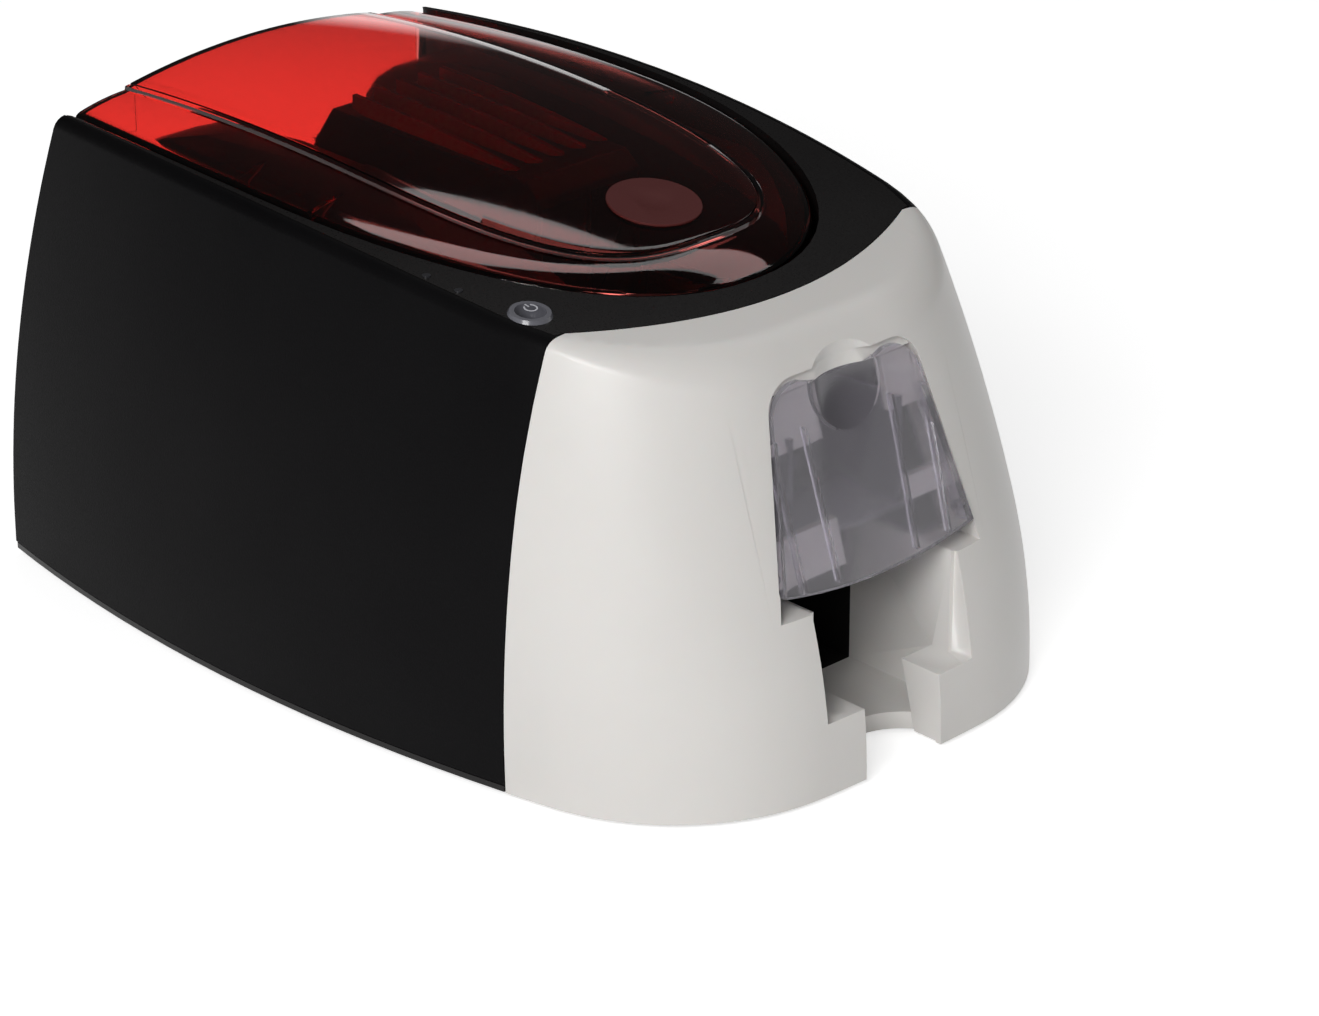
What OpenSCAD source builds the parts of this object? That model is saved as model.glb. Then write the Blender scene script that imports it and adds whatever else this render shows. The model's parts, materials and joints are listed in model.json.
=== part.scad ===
// Desktop printer for plastic cards, with a hinged see-through lid and a hinged feeder cover.
// Modules draw with the rear face at y = 0, the front towards -y and the underside at z = 0.

/* [Body] */
// Length of the body from rear to front
body_len = 384; // [370:1:400]
// Widest half of the plan outline at the foot of the flanks
half_w = 140; // [136:1:144]
// Distance of the widest point from the rear
side_apex = 145; // [130:1:160]
// Plan radius of the flanks
side_r = 780; // [740:10:900]
// Plan radius of the front face
front_r = 900; // [820:10:1000]
// Plan radius of the front corners
corner_r = 84; // [76:1:90]
// Radius of the upright curve of the flanks
side_profile_r = 540; // [500:10:600]
// Height where the flanks start to lean in
lean_start = 10; // [5:1:15]
// Radius of the upright curve of the front, below its straight part
front_profile_r = 231; // [215:1:250]
// Height where the front face turns straight
front_knee = 70; // [62:1:76]
// Lean of the rear face over its full height
rear_lean = 7.4; // [5:0.2:9]
// Highest point of the top surface
top_z = 187; // [184:1:190]
// Distance of that highest point from the rear
top_apex = 105; // [95:1:115]
// Length radius of the top surface
top_r = 1340; // [1250:10:1500]
// Wall of the outer shells
wall = 2.6; // [2.2:0.1:3]
// Rounding along the top edge of the flanks
edge_r = 4.2; // [3.8:0.1:5]
// Rounding along the top edge of the front
brow_r = 13; // [9:0.5:16]
// Shut line between neighbouring shells
seam_gap = 0.5; // [0.3:0.1:0.8]

/* [Seams] */
// Length of the white shell along the flank, at its foot
shell_len = 86; // [82:1:90]
// Forward step of that seam over the full height
seam_rake = 4.3; // [0:0.1:6]
// Distance of the top seam from the front, at the middle
brow_len = 67.5; // [64:0.5:72]
// Bow of the top seam
seam_bow = 23; // [18:1:26]

/* [Base] */
// Thickness of the base plate
base_t = 2.6; // [2:0.1:3.4]
// Height of the feet below the base plate
foot_h = 2; // [1.5:0.1:3]
// Diameter of the feet
foot_d = 16; // [12:1:20]
// Distance of the feet from the widest point of the flanks
foot_in = 44; // [40:1:52]
// Distance of the rear feet from the rear
foot_rear = 34; // [28:1:45]
// Distance of the front feet from the front
foot_set = 98; // [94:1:114]
// Depth of the sockets that hold the feet
foot_seat = 1.2; // [0.8:0.1:1.6]

/* [Card tray] */
// Half width between the lower front blocks
gap_x = 20.2; // [18:0.2:24]
// Height of the lower front blocks
block_z = 29; // [26:0.5:32]
// Half width between the upright cheeks above the blocks
cheek_x = 39; // [36:0.5:42]
// Height of the cheeks
cheek_z = 71; // [68:0.5:73]
// Half width of the opening above the cheeks
mouth_x = 53.6; // [52:0.2:55]
// Depth of the thick rim round the opening
rim_t = 14; // [11:0.5:17]
// Depth of the white part of the tray
tray_depth = 65; // [60:1:72]
// Depth of the whole tray
liner_depth = 108; // [104:1:114]
// Half width inside the tray
tray_x = 37; // [34:0.5:38]
// Height of the tray floor
tray_z = 8; // [6:0.5:10]
// Thickness of the tray walls
tray_t = 2.4; // [2:0.1:3]
// Radius of the finger cut-out in the tray floor
finger_r = 26; // [24:0.5:30]

/* [Feeder cover] */
// Height of the lower corners of the cover
cover_z0 = 80; // [78:0.5:82]
// Half width of the cover at its lower corners
cover_x0 = 50.6; // [49:0.2:51.4]
// Height where the upper corners start to round
cover_z1 = 141; // [136:0.5:143]
// Half width of the cover there
cover_x1 = 39.4; // [37:0.2:41]
// Height of the top edge of the cover
cover_top = 152; // [150:0.5:154]
// Thickness of the cover
cover_t = 2.2; // [1.8:0.1:2.6]
// Gap round the cover
cover_gap = 1; // [0.8:0.1:1.4]
// Gap above the cover, which swings up a little as it opens
cover_lift = 2.6; // [2.4:0.1:3.5]
// Drop of the lower edge at the middle
cover_drop = 5; // [3:0.5:7]
// Height of the centre of the round finger dish
dish_z = 146; // [144:0.5:148]
// Diameter of the finger dish
dish_d = 37; // [32:0.5:40]
// Depth of the finger dish
dish_depth = 6; // [4:0.5:7]
// Height of the pivot pins of the cover
pivot_z = 85; // [83:0.5:87]
// Diameter of the pivot pins
pivot_d = 4; // [3:0.2:5]
// Height of the stiffening ribs on the back of the cover
cover_rib = 2.4; // [1.6:0.2:3]

/* [Card feeder] */
// Width of a card
card_w = 54; // [53:0.5:55]
// Length of a card
card_l = 85.6; // [84:0.2:88]
// Side play of a card between its guides
card_play = 0.8; // [0.4:0.1:1.5]
// Height of the floor under the card stack
stack_z = 88; // [86:0.5:90]
// Height of the feeder's roof
hopper_top = 131; // [124:1:133]
// Thickness of the feeder's walls
hopper_t = 2.4; // [2:0.1:3]

/* [Lid] */
// Width of the top frame between the lid and the widest point of the flanks
frame_w = 39.5; // [38:0.5:42]
// Distance from the rear of the widest point of the lid
lid_mid = 136; // [130:1:142]
// Distance of the lid's nose from the front
nose_set = 84.5; // [82:0.5:88]
// Exponent of the rounded front half, 2 for an ellipse
lid_n = 2.19; // [2:0.01:2.4]
// Distance of the lid's rear wall from the rear of the body
lid_rear = 8.5; // [7:0.5:10]
// Narrowing of the lid on each side from its widest point to its rear wall
lid_taper = 9.5; // [7.5:0.5:12.5]
// Rise of the lid's middle above the top surface
lid_rise = 13.2; // [11:0.2:15]
// Depth of the lid's edge below the top surface
lid_sink = 2.4; // [1.6:0.1:3]
// Thickness of the lid
lid_t = 2.4; // [2:0.1:3]
// Depth of the turned-down edge of the lid
lid_skirt = 6; // [4:0.5:8]
// Gap round the lid
lid_gap = 2.8; // [2:0.1:3.5]
// Height of the lower edge of the lid's rear wall
lid_wall_z = 141; // [140:0.5:143]
// Size of the raised middle panel as a share of the lid
panel_share = 0.65; // [0.6:0.01:0.7]
// Step round the raised middle panel
panel_step = 1.4; // [0.8:0.1:2]
// Height of the hinge axis
hinge_z = 147; // [146:0.5:148]
// Distance of the hinge axis from the rear
hinge_y = 9; // [8.5:0.1:10]
// Diameter of the hinge pins
hinge_pin_d = 4; // [3:0.2:4.4]
// Diameter of the hinge knuckles
hinge_d = 8; // [7.6:0.1:8.4]
// Distance of the hinge lugs from the rear corners of the lid
lug_in = 17; // [13:1:21]
// Width of the hinge lugs
lug_w = 6; // [5:0.5:7]
// Side play of the hinge
hinge_play = 0.4; // [0.3:0.1:0.8]
// Number of stiffening ribs under the lid
lid_ribs = 5; // [3:1:5]
// Spacing of the stiffening ribs
lid_rib_pitch = 11.4; // [10:0.2:12]
// Thickness of the stiffening ribs
lid_rib_t = 2; // [1.6:0.1:2.6]
// Distance of the rear end of the ribs from the rear
rib_y0 = 101; // [96:1:106]
// Distance of the front end of the ribs from the middle of the thumb disc
rib_set = 51; // [46:1:58]
// Diameter of the round thumb disc
disc_d = 37; // [32:0.5:40]
// Distance of the thumb disc from the lid's nose
disc_set = 51.5; // [47:0.5:58]
// Thickness of the thumb disc
disc_t = 1.2; // [0.8:0.1:1.6]

/* [Controls] */
// Diameter of the ring round the power button
ring_d = 17; // [16:0.5:17.5]
// Diameter of the power button
button_d = 11; // [9:0.5:12]
// Distance of the button from the shut line beside it
button_in = 8.9; // [8.8:0.1:12]
// Distance of the button from the front
button_set = 108; // [107:0.5:111]
// Travel of the button
button_travel = 1.2; // [0.8:0.1:1.5]
// Running gap round the button
button_gap = 0.5; // [0.4:0.1:0.8]
// Diameter of the indicator lenses
lens_d = 3.4; // [2.6:0.2:4]
// Distance of the lenses from the flank seam
lens_in = 3.6; // [2.8:0.2:6]
// Distance of the first lens from the button
lens_set = 45; // [40:1:51]
// Spacing of the lenses
lens_pitch = 16; // [12:1:20]

/* [Mechanism] */
// Distance of the chassis plates from the middle line, inner face
plate_x = 44; // [42:0.5:46]
// Thickness of the chassis plates
plate_t = 1.6; // [1.2:0.1:2]
// Height of the roller axes
axis_z = 80; // [78:0.5:82]
// Distance of the feed roller from the front
feed_set = 74; // [70:0.5:76]
// Spacing of the roller axes
roll_pitch = 60; // [60:0.5:62]
// Diameter of the transport rollers
roll_d = 16; // [14:0.5:17]
// Diameter of the roller shafts
shaft_d = 6; // [5:0.2:7]
// Running gap round the shafts
shaft_gap = 0.35; // [0.3:0.05:0.5]
// Tooth size of the gears, pitch diameter over tooth count
gear_m = 1.5; // [1.4:0.05:1.5]
// Width of the gears
gear_w = 6; // [4:0.5:7]
// Height of the spool axes
spool_z = 116; // [114:0.5:117]
// Distance of the supply spool behind the print line
supply_set = 68; // [66:0.5:72]
// Distance of the take-up spool in front of the print line
takeup_set = 54; // [52:0.5:58]
// Diameter of the spool cores
core_d = 16; // [14:0.5:18]
// Diameter of the full ribbon roll
supply_d = 34; // [28:0.5:36]
// Diameter of the used ribbon roll
takeup_d = 23; // [20:0.5:25]
// Diameter of the spool end flanges
flange_d = 38; // [36:0.5:40]
// Width of the ribbon
ribbon_w = 58; // [56:0.5:60]
// Thickness of the ribbon film
film_t = 0.5; // [0.4:0.1:0.8]

/* [Deck and head] */
// Height of the deck under the lid
deck_z = 136; // [134:0.5:137]
// Thickness of the deck
deck_t = 2.6; // [2:0.1:3]
// Half width of the ribbon bay in the deck
bay_x = 50; // [48:0.5:51]
// Half width of the space between the raised covers beside the bay
shoulder_x0 = 52; // [51:0.5:54]
// Diameter of the heads of the deck screws
screw_d = 6.4; // [5.6:0.1:7]
// Gap between the raised covers and the lid, seen from above
lid_margin = 9; // [8:0.5:12]
// Depth of the ribs below the top of the lid at their front end, before rounding
rib_depth = 5; // [4.2:0.2:7]
// Width of the head carrier
head_w = 54; // [50:1:56]
// Distance of the front of the head carrier from the print line
head_set = 22; // [20:0.5:24]
// Half depth of the print head
head_d = 12; // [10:0.5:12]

/* [Electronics] */
// Distance of the power inlet from the middle line
inlet_x = 62; // [60:1:72]
// Width of the power inlet
inlet_w = 28; // [27:0.5:30]
// Height of the power inlet
inlet_h = 20; // [19:0.5:22]
// Height of the lower edge of the sockets
port_z = 18; // [14:1:24]
// Distance of the data socket from the middle line
usb_x = 20; // [14:1:26]
// Width of the data socket
usb_w = 12.6; // [12:0.1:13.4]
// Height of the data socket
usb_h = 11.6; // [11:0.1:12.4]
// Number of vent slots
vent_count = 8; // [5:1:8]
// Width of the vent slots
vent_w = 2.2; // [1.6:0.1:3]
// Spacing of the vent slots
vent_pitch = 5; // [4:0.2:5.6]
// Height of the vent slots
vent_h = 36; // [24:1:44]
// Width of the main board
board_w = 29; // [26:0.5:30]
// Length of the main board
board_l = 130; // [120:1:132]
// Height of the main board above the underside
board_z = 9; // [8:0.5:12]
// Width of the power supply
psu_w = 22; // [18:0.5:24]
// Length of the power supply
psu_l = 125; // [110:1:130]
// Height of the power supply
psu_h = 40; // [34:0.5:40]
// Diameter of the drive motor
motor_d = 34; // [30:1:36]
// Length of the drive motor
motor_l = 20; // [16:1:24]
// Diameter of the ribbon motor
rmotor_d = 28; // [24:1:30]
// Length of the ribbon motor
rmotor_l = 18; // [14:1:20]
// Diameter of the tie bars
tie_d = 5; // [4:0.2:6]

/* [Hidden] */
$fn = 48;
ov = 0.02;
seam_y0 = body_len - shell_len;
seam_mid = body_len - brow_len;
foot_x = half_w - foot_in;
foot_front = body_len - foot_set;
tray_end = body_len - tray_depth;
liner_end = body_len - liner_depth;
lid_x = half_w - frame_w;
lid_rear_x = lid_x - lid_taper;
lid_tip = body_len - nose_set;
lid_nose = lid_tip - lid_mid;
lug_x = lid_rear_x - lug_in;
disc_y = lid_tip - disc_set;
rib_y1 = disc_y - rib_set;
rib_z = floor(crown(-rib_y1) - rib_depth);
button_y = body_len - button_set;
lens_y = button_y - lens_set;
rear_roll_y = body_len - feed_set - 3 * roll_pitch;
roll_ys = [for (k = [0:3]) rear_roll_y + k * roll_pitch];
platen_y = roll_ys[1];
drive_y = roll_ys[2];
feed_y = roll_ys[3];
supply_y = platen_y - supply_set;
takeup_y = platen_y + takeup_set;

// Shape of the outer surface
function side_lean(z) = pow(max(0, z - lean_start), 2) / (2 * side_profile_r);
function front_lean(z) = z < front_knee ? z * z / (2 * front_profile_r)
    : front_knee * front_knee / (2 * front_profile_r) + (z - front_knee) * front_knee / front_profile_r;
function rear_y(z) = -rear_lean * z * z / (top_z * top_z);
function surf_z(y) = top_z - pow(y + top_apex, 2) / (2 * top_r);
side_c = [half_w - side_r, -side_apex];
front_c = [0, front_r - body_len];
function side_x(y, z, off) = side_c[0] + sqrt(pow(side_r - side_lean(z) - off, 2) - pow(y - side_c[1], 2));
function meet(a, ra, b, rb) = let (d = norm(b - a), e = (b - a) / d, m = (ra * ra - rb * rb + d * d)
    / (2 * d))
    a + e * m + sqrt(ra * ra - m * m) * [e[1], -e[0]];
function corner_c(z) = meet(side_c, side_r - side_lean(z) - corner_r, front_c, front_r - front_lean(z)
    - corner_r);
function heading(a, b) = atan2(b[1] - a[1], b[0] - a[0]);

// Half width of the outline at distance y and height z, set in by off
function flank_x(y, z, off) = let (c = corner_c(z), a = heading(side_c, c),
        ya = side_c[1] + (side_r - side_lean(z) - off) * sin(a))
    y > ya ? side_x(y, z, off) : c[0] + sqrt(pow(corner_r - off, 2) - pow(y - c[1], 2));
hub = [0, 184 - body_len];
// Distance from the hub to a circle, along direction p
function reach(p, c, r) = let (q = hub - c, k = q * p) -k + sqrt(k * k - q * q + r * r);
half_n = 20;
full_n = 2 * half_n + 1;
// Outline at height z set in by off, from distance y0 on the left round the front to the right
function front_outline(z, off, y0) = let (
        c = corner_c(z),
        r = corner_r - off,
        a1 = heading(side_c, c),
        a2 = heading(front_c, c),
        b0 = heading(hub, [flank_x(y0, z, off), y0]),
        t1 = heading(hub, c + r * [cos(a1), sin(a1)]),
        t2 = heading(hub, c + r * [cos(a2), sin(a2)]))
    [for (i = [-half_n:half_n]) let (
        w = 1 - abs(i) / half_n,
        b = b0 + (-90 - b0) * w,
        p = [cos(b), sin(b)],
        d = b > t1 ? reach(p, side_c, side_r - side_lean(z) - off)
            : b > t2 ? reach(p, c, r)
            : reach(p, front_c, front_r - front_lean(z) - off),
        q = hub + d * p)
        [i < 0 ? -q[0] : i == 0 ? 0 : q[0], q[1]]];

// A thin sheet between two grids of points, outer[row][column] and inner[row][column]
module sheet(outer, inner, folded = false) {
    rows = len(outer);
    cols = len(outer[0]);
    k = rows * cols;
    last = rows - 1;
    function id(r, c) = r * cols + (folded && r == last ? min(c, cols - 1 - c) : c);
    points = [for (g = [outer, inner]) for (r = g) for (p = r) p];
    skin = [for (r = [0:last - 1]) for (c = [0:cols - 2])
        let (a = id(r, c), b = id(r, c + 1), d = id(r + 1, c), e = id(r + 1, c + 1))
        each [[a, e, b], [a, d, e]]];
    lining = [for (f = skin) [f[2] + k, f[1] + k, f[0] + k]];
    foot = [for (c = [0:cols - 2]) let (a = id(0, c), b = id(0, c + 1))
        each [[b, b + k, a + k], [b, a + k, a]]];
    head = folded ? [] : [for (c = [0:cols - 2]) let (a = id(last, c), b = id(last, c + 1))
        each [[a, b + k, b], [a, a + k, b + k]]];
    start = [for (r = [0:last - 1]) let (a = id(r, 0), b = id(r + 1, 0))
        each [[a, a + k, b + k], [a, b + k, b]]];
    end = [for (r = [0:last - 1]) let (a = id(r, cols - 1), b = id(r + 1, cols - 1))
        each [[a, b + k, a + k], [a, b, b + k]]];
    polyhedron(points, concat(skin, lining, foot, head, start, end));
}

module placed() translate([0, body_len / 2, foot_h]) children();
module mirrored() {
    children();
    mirror([1, 0, 0]) children();
}
module along_x(x0, x1, d, fn = 48) translate([x0, 0, 0]) rotate([0, 90, 0])
    cylinder(d = d, h = x1 - x0, $fn = fn);
module at(y, z) translate([0, -y, z]) children();
// A profile in the length plane, drawn as [y, z] points, pushed out sideways from x0 to x1
module side_extrude(x0, x1) translate([x0, 0, 0]) rotate([90, 0, 90]) linear_extrude(x1 - x0) children();
// A profile seen from the front, drawn as [x, z] points, pushed out from y0 back to y1
module front_extrude(y0, y1) translate([0, y1, 0]) rotate([90, 0, 0]) linear_extrude(y1 - y0) children();

/* White front shell */
seam_x = flank_x(-seam_y0 + seam_rake, top_z - 14, edge_r);
function seam_y(z) = -seam_y0 + seam_rake * z / top_z;
function edge_round(x) = brow_r + (edge_r - brow_r) * pow(min(1, abs(x) / seam_x), 3);
shell_rows = 9;
round_rows = 4;
lip_rows = 2;
seam_inset = 4;
function shell_column(i, off) = let (
        p0 = front_outline(surf_z(-seam_y0), off, seam_y(surf_z(-seam_y0)))[i],
        r = edge_round(p0[0]) - off,
        zs = surf_z(p0[1]) - edge_round(p0[0]),
        rise = [for (k = [0:shell_rows])
            let (z = zs * k / shell_rows, p = front_outline(z, off, seam_y(z))[i])
            [p[0], p[1], z]],
        turn = [for (k = [1:round_rows]) let (a = 90 * k / round_rows, z = zs + r * sin(a),
                p = front_outline(z, off + r * (1 - cos(a)), seam_y(z))[i])
            [p[0], p[1], k == round_rows ? surf_z(p[1]) - off : z]],
        f = turn[round_rows - 1],
        tx = (seam_x - seam_inset) * min(1, max(-1, f[0] / seam_x)),
        ty = -seam_mid + seam_bow * pow(tx / (seam_x - seam_inset), 2),
        lip = [for (k = [1:lip_rows]) let (w = k / lip_rows, x = f[0] + (tx - f[0]) * w,
            y = f[1] + (ty - f[1]) * w)
            [x, y, surf_z(y) - off]])
    concat(rise, turn, lip);
function columns_to_rows(cols) = [for (r = [0:len(cols[0]) - 1]) [for (c = cols) c[r]]];
module shell_sheet() {
    outer = columns_to_rows([for (i = [0:full_n - 1]) shell_column(i, 0)]);
    inner = columns_to_rows([for (i = [0:full_n - 1]) shell_column(i, wall)]);
    sheet(outer, inner);
}

// The front face in the length plane, set back by d
face_steps = 16;
function face_line(d, z0, z1) = [for (k = [0:face_steps]) let (z = z0 + (z1 - z0) * k / face_steps)
    [-body_len + front_lean(z) + d, z]];
face_crown = mouth_x * mouth_x / (2 * front_r);
rim_set = face_crown + 0.4;
brow_z = surf_z(-body_len + front_lean(cover_top)) - brow_r;
function brow_back(z) = z < brow_z ? 0 : brow_r - sqrt(max(0, brow_r * brow_r - pow(z - brow_z, 2)));
module rim_block(x, z0, z1, t) side_extrude(-x, x) polygon(concat(face_line(rim_set, z0, brow_z),
    [for (k = [1:4]) let (z = brow_z + (z1 - brow_z) * k / 4)
        [-body_len + front_lean(z) + rim_set + brow_back(z), z]],
    [[-body_len + front_lean(z1) + t + 4, z1], [-body_len + front_lean(z0) + t, z0]]));
opening_x0 = cover_x0 + cover_gap;
// Outline of the cover or, grown by a gap, of the opening above the cheeks
module cover_outline(g, z0) {
    slope = (cover_x0 - cover_x1) / (cover_z1 - cover_z0);
    low = cover_x0 + slope * (cover_z0 - z0) + g;
    corner = cover_top - cover_z1 + 3;
    hull() mirrored() {
        translate([low - 1, z0]) square([1, 1]);
        translate([cover_x1 + g - corner, cover_top + g - corner]) circle(r = corner, $fn = 40);
    }
}
module opening_outline() {
    translate([-gap_x, -5]) square([2 * gap_x, block_z + 5 + ov]);
    translate([-cheek_x, block_z]) square([2 * cheek_x, cheek_z - block_z + ov]);
    polygon([[-mouth_x, cheek_z], [mouth_x, cheek_z], [opening_x0, cover_z0], [-opening_x0, cover_z0]]);
    cover_outline(cover_gap, cover_z0 - ov);
    translate([0, cover_lift - cover_gap]) cover_outline(cover_gap, cover_z0);
}
dish_r = (dish_d * dish_d / 4 + dish_depth * dish_depth) / (2 * dish_depth);
face_tilt = atan(front_knee / front_profile_r);
module at_dish() translate([0, -body_len + front_lean(dish_z), dish_z]) rotate([-face_tilt, 0, 0])
    children();
module dish_ball(r) at_dish() translate([0, dish_depth - dish_r, 0]) sphere(r = r, $fn = 96);
function face_back(z, d) = -body_len + front_lean(z) + d;
pivot_y = face_back(pivot_z, 6.5);
tray_front = face_back(0, rim_t);
module front_shell() color([0.84, 0.83, 0.82]) placed() {
    difference() {
        union() {
            shell_sheet();
            rim_block(mouth_x + 3.5, 0.6, hopper_top + 30, rim_t);
        }
        front_extrude(-body_len - 10, -body_len + 90) opening_outline();
        dish_ball(dish_r);
        at_pivot() along_x(-cover_x0 - 5, cover_x0 + 5, pivot_d + 2 * shaft_gap);
    }
    // Side walls and floor of the white part of the tray
    mirrored() translate([tray_x, tray_front - 1, 1.2])
        cube([tray_t, -tray_end - tray_front + 1, cheek_z - 1.2]);
    difference() {
        translate([-tray_x - 1, -body_len + rim_set + 0.6, 0.8])
            cube([2 * tray_x + 2, body_len - tray_end - rim_set - 0.6, tray_z - 0.8]);
        translate([0, -body_len, -1]) cylinder(r = finger_r, h = tray_z + 2, $fn = 96);
    }
}
module at_pivot() translate([0, pivot_y, pivot_z]) children();

/* Smoked cover of the card feeder */
module cover_slab(d0, d1) side_extrude(-mouth_x, mouth_x)
    polygon(concat(face_line(d0, cover_z0 - 9, cover_top + 1),
        [for (k = [face_steps:-1:0]) face_line(d1, cover_z0 - 9, cover_top + 1)[k]]));
drop_r = (cover_x0 * cover_x0 + cover_drop * cover_drop) / (2 * cover_drop);
module feeder_cover() color([0.55, 0.53, 0.6, 0.5]) placed() {
    difference() {
        union() {
            intersection() {
                front_extrude(-body_len, -body_len + 90) cover_outline(0, cover_z0 - 8);
                cover_slab(0.6, 0.6 + cover_t);
            }
            intersection() {
                cover_ribs();
                front_extrude(-body_len, -body_len + 90) cover_outline(-1, cover_z0 - 8);
            }
            // Rim that turns back along both sides
            intersection() {
                difference() {
                    front_extrude(-body_len, -body_len + 90) cover_outline(0, cover_z0 - 8);
                    front_extrude(-body_len - 1, -body_len + 91) cover_outline(-cover_t, cover_z0 - 20);
                }
                cover_slab(0.6, 8.5);
                translate([-mouth_x, -body_len, 0]) cube([2 * mouth_x, 90, cover_z1 - 8]);
            }
            intersection() {
                dish_ball(dish_r + cover_t);
                front_extrude(-body_len, -body_len + 90) cover_outline(-0.5, cover_z0);
                cover_slab(0.6, 20);
            }
        }
        dish_ball(dish_r);
        // Curved lower edge and dipped top edge
        front_extrude(-body_len - 1, -body_len + 91) difference() {
            translate([-mouth_x, cover_z0 - 30]) square([2 * mouth_x, 30 + 4]);
            translate([0, cover_z0 - cover_drop + drop_r]) circle(r = drop_r, $fn = 180);
        }
        front_extrude(-body_len - 1, -body_len + 91) translate([0, cover_top + 62])
            circle(r = 66, $fn = 180);
    }
    at_pivot() mirrored() along_x(cover_x0 - 4, cover_x0 + 3.6, pivot_d);
}
cover_rib_x = [17.9, 35.5];
module cover_ribs() for (x = cover_rib_x) mirrored() translate([x, 0, 0]) rotate([0, 2.2, 0])
    translate([-0.8, 0, 0]) side_extrude(0, 1.6)
    polygon(concat(face_line(1, cover_z0 - 3, 134),
        [for (k = [face_steps:-1:0]) face_line(0.6 + cover_t + cover_rib, cover_z0 - 3, 134)[k]]));

/* Side panels */
panel_cols = 12;
module side_sheet() {
    foot = base_t + seam_gap;
    function col(w, off) = let (
            y_top = rear_y(top_z) + (seam_y(top_z) + seam_gap - rear_y(top_z)) * w,
            zs = surf_z(y_top) - edge_r,
            r = edge_r - off)
        concat([for (k = [0:shell_rows]) let (z = foot + (zs - foot) * k / shell_rows,
                y = rear_y(z) + (seam_y(z) + seam_gap - rear_y(z)) * w) [-flank_x(y, z, off), y, z]],
            [for (k = [1:round_rows]) let (a = 90 * k / round_rows, z = zs + r * sin(a),
                y = rear_y(z) + (seam_y(z) + seam_gap - rear_y(z)) * w)
                    [-flank_x(y, z, off + r * (1 - cos(a))), y, z]]);
    outer = columns_to_rows([for (c = [0:panel_cols]) col(c / panel_cols, 0)]);
    inner = columns_to_rows([for (c = [0:panel_cols]) col(c / panel_cols, wall)]);
    sheet(outer, inner);
}
module left_side_panel() color([0.11, 0.11, 0.12]) placed() side_sheet();
module right_side_panel() color([0.11, 0.11, 0.12]) placed() mirror([1, 0, 0]) side_sheet();

/* Top frame round the lid */
function lid_half(y, g) = y > -lid_mid ? lid_x + g - (lid_x - lid_rear_x)
    * pow((y + lid_mid) / (lid_mid - lid_rear), 2)
    : (lid_x + g) * pow(max(0, 1 - pow(-(y + lid_mid) / (lid_nose + g), lid_n)), 1 / lid_n);
// Rim of the lid opening from the rear left round the front to the rear right, set out by g
rim_side = 7;
rim_nose = 18;
function rim_points(g, y_rear) = concat(
    [for (k = [0:rim_side - 1]) let (y = y_rear + (-lid_mid - y_rear) * k / rim_side)
        [-lid_half(y, g), y]],
    [for (k = [0:2 * rim_nose]) let (a = 90 * k / rim_nose, c = cos(a), s = sin(a))
        [-(lid_x + g) * sign(c) * pow(abs(c), 2 / lid_n), -lid_mid - (lid_nose + g)
            * pow(abs(s), 2 / lid_n)]],
    [for (k = [rim_side - 1:-1:0]) let (y = y_rear + (-lid_mid - y_rear) * k / rim_side)
        [lid_half(y, g), y]]);
rim_n = 2 * rim_side + 2 * rim_nose + 1;
// Outer edge of the top frame that faces rim point i
function frame_edge(i) = let (
        g = seam_gap,
        rear = rear_y(top_z) - seam_gap,
        side_end = -seam_y0 + seam_rake + 2 * seam_gap,
        n1 = rim_side + 8,
        m = rim_n - 1 - i,
        j = min(i, m),
        s = i <= m ? -1 : 1)
    j <= n1 ? let (y = rear + (side_end - rear) * j / n1) [s * (flank_x(y, surf_z(y), edge_r) - g), y]
    : let (u = 1 - (j - n1 - 1) / ((rim_n - 1) / 2 - n1 - 1), x = (seam_x - seam_inset) * u)
        [s * x, -seam_mid + seam_bow * u * u + g];
module top_frame() color([0.15, 0.14, 0.15]) placed() {
    rim = rim_points(lid_gap, rear_y(top_z) - wall - seam_gap);
    rim2 = rim_points(lid_gap + wall, rear_y(top_z) - wall - seam_gap);
    outer = [for (v = [0, 0.5, 1])
        [for (i = [0:rim_n - 1]) let (a = frame_edge(i), b = rim[i], p = a + (b - a) * v)
        [p[0], p[1], surf_z(p[1])]]];
    inner = [for (v = [0, 0.5, 1])
        [for (i = [0:rim_n - 1]) let (a = frame_edge(i), b = rim2[i], p = a + (b - a) * v)
        [p[0], p[1], surf_z(p[1]) - wall]]];
    well_outer = [for (i = [0:rim_n - 1]) [rim[i][0], rim[i][1], deck_z]];
    well_inner = [for (i = [0:rim_n - 1]) [rim2[i][0], rim2[i][1], deck_z]];
    difference() {
        sheet(concat(outer, [well_outer]), concat(inner, [well_inner]));
        at_button() cylinder(d = ring_in + 2 * ring_t, h = 30, center = true);
        for (k = [0, 1]) at_lens(k) cylinder(d = lens_d, h = 30, center = true);
    }
}

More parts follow.
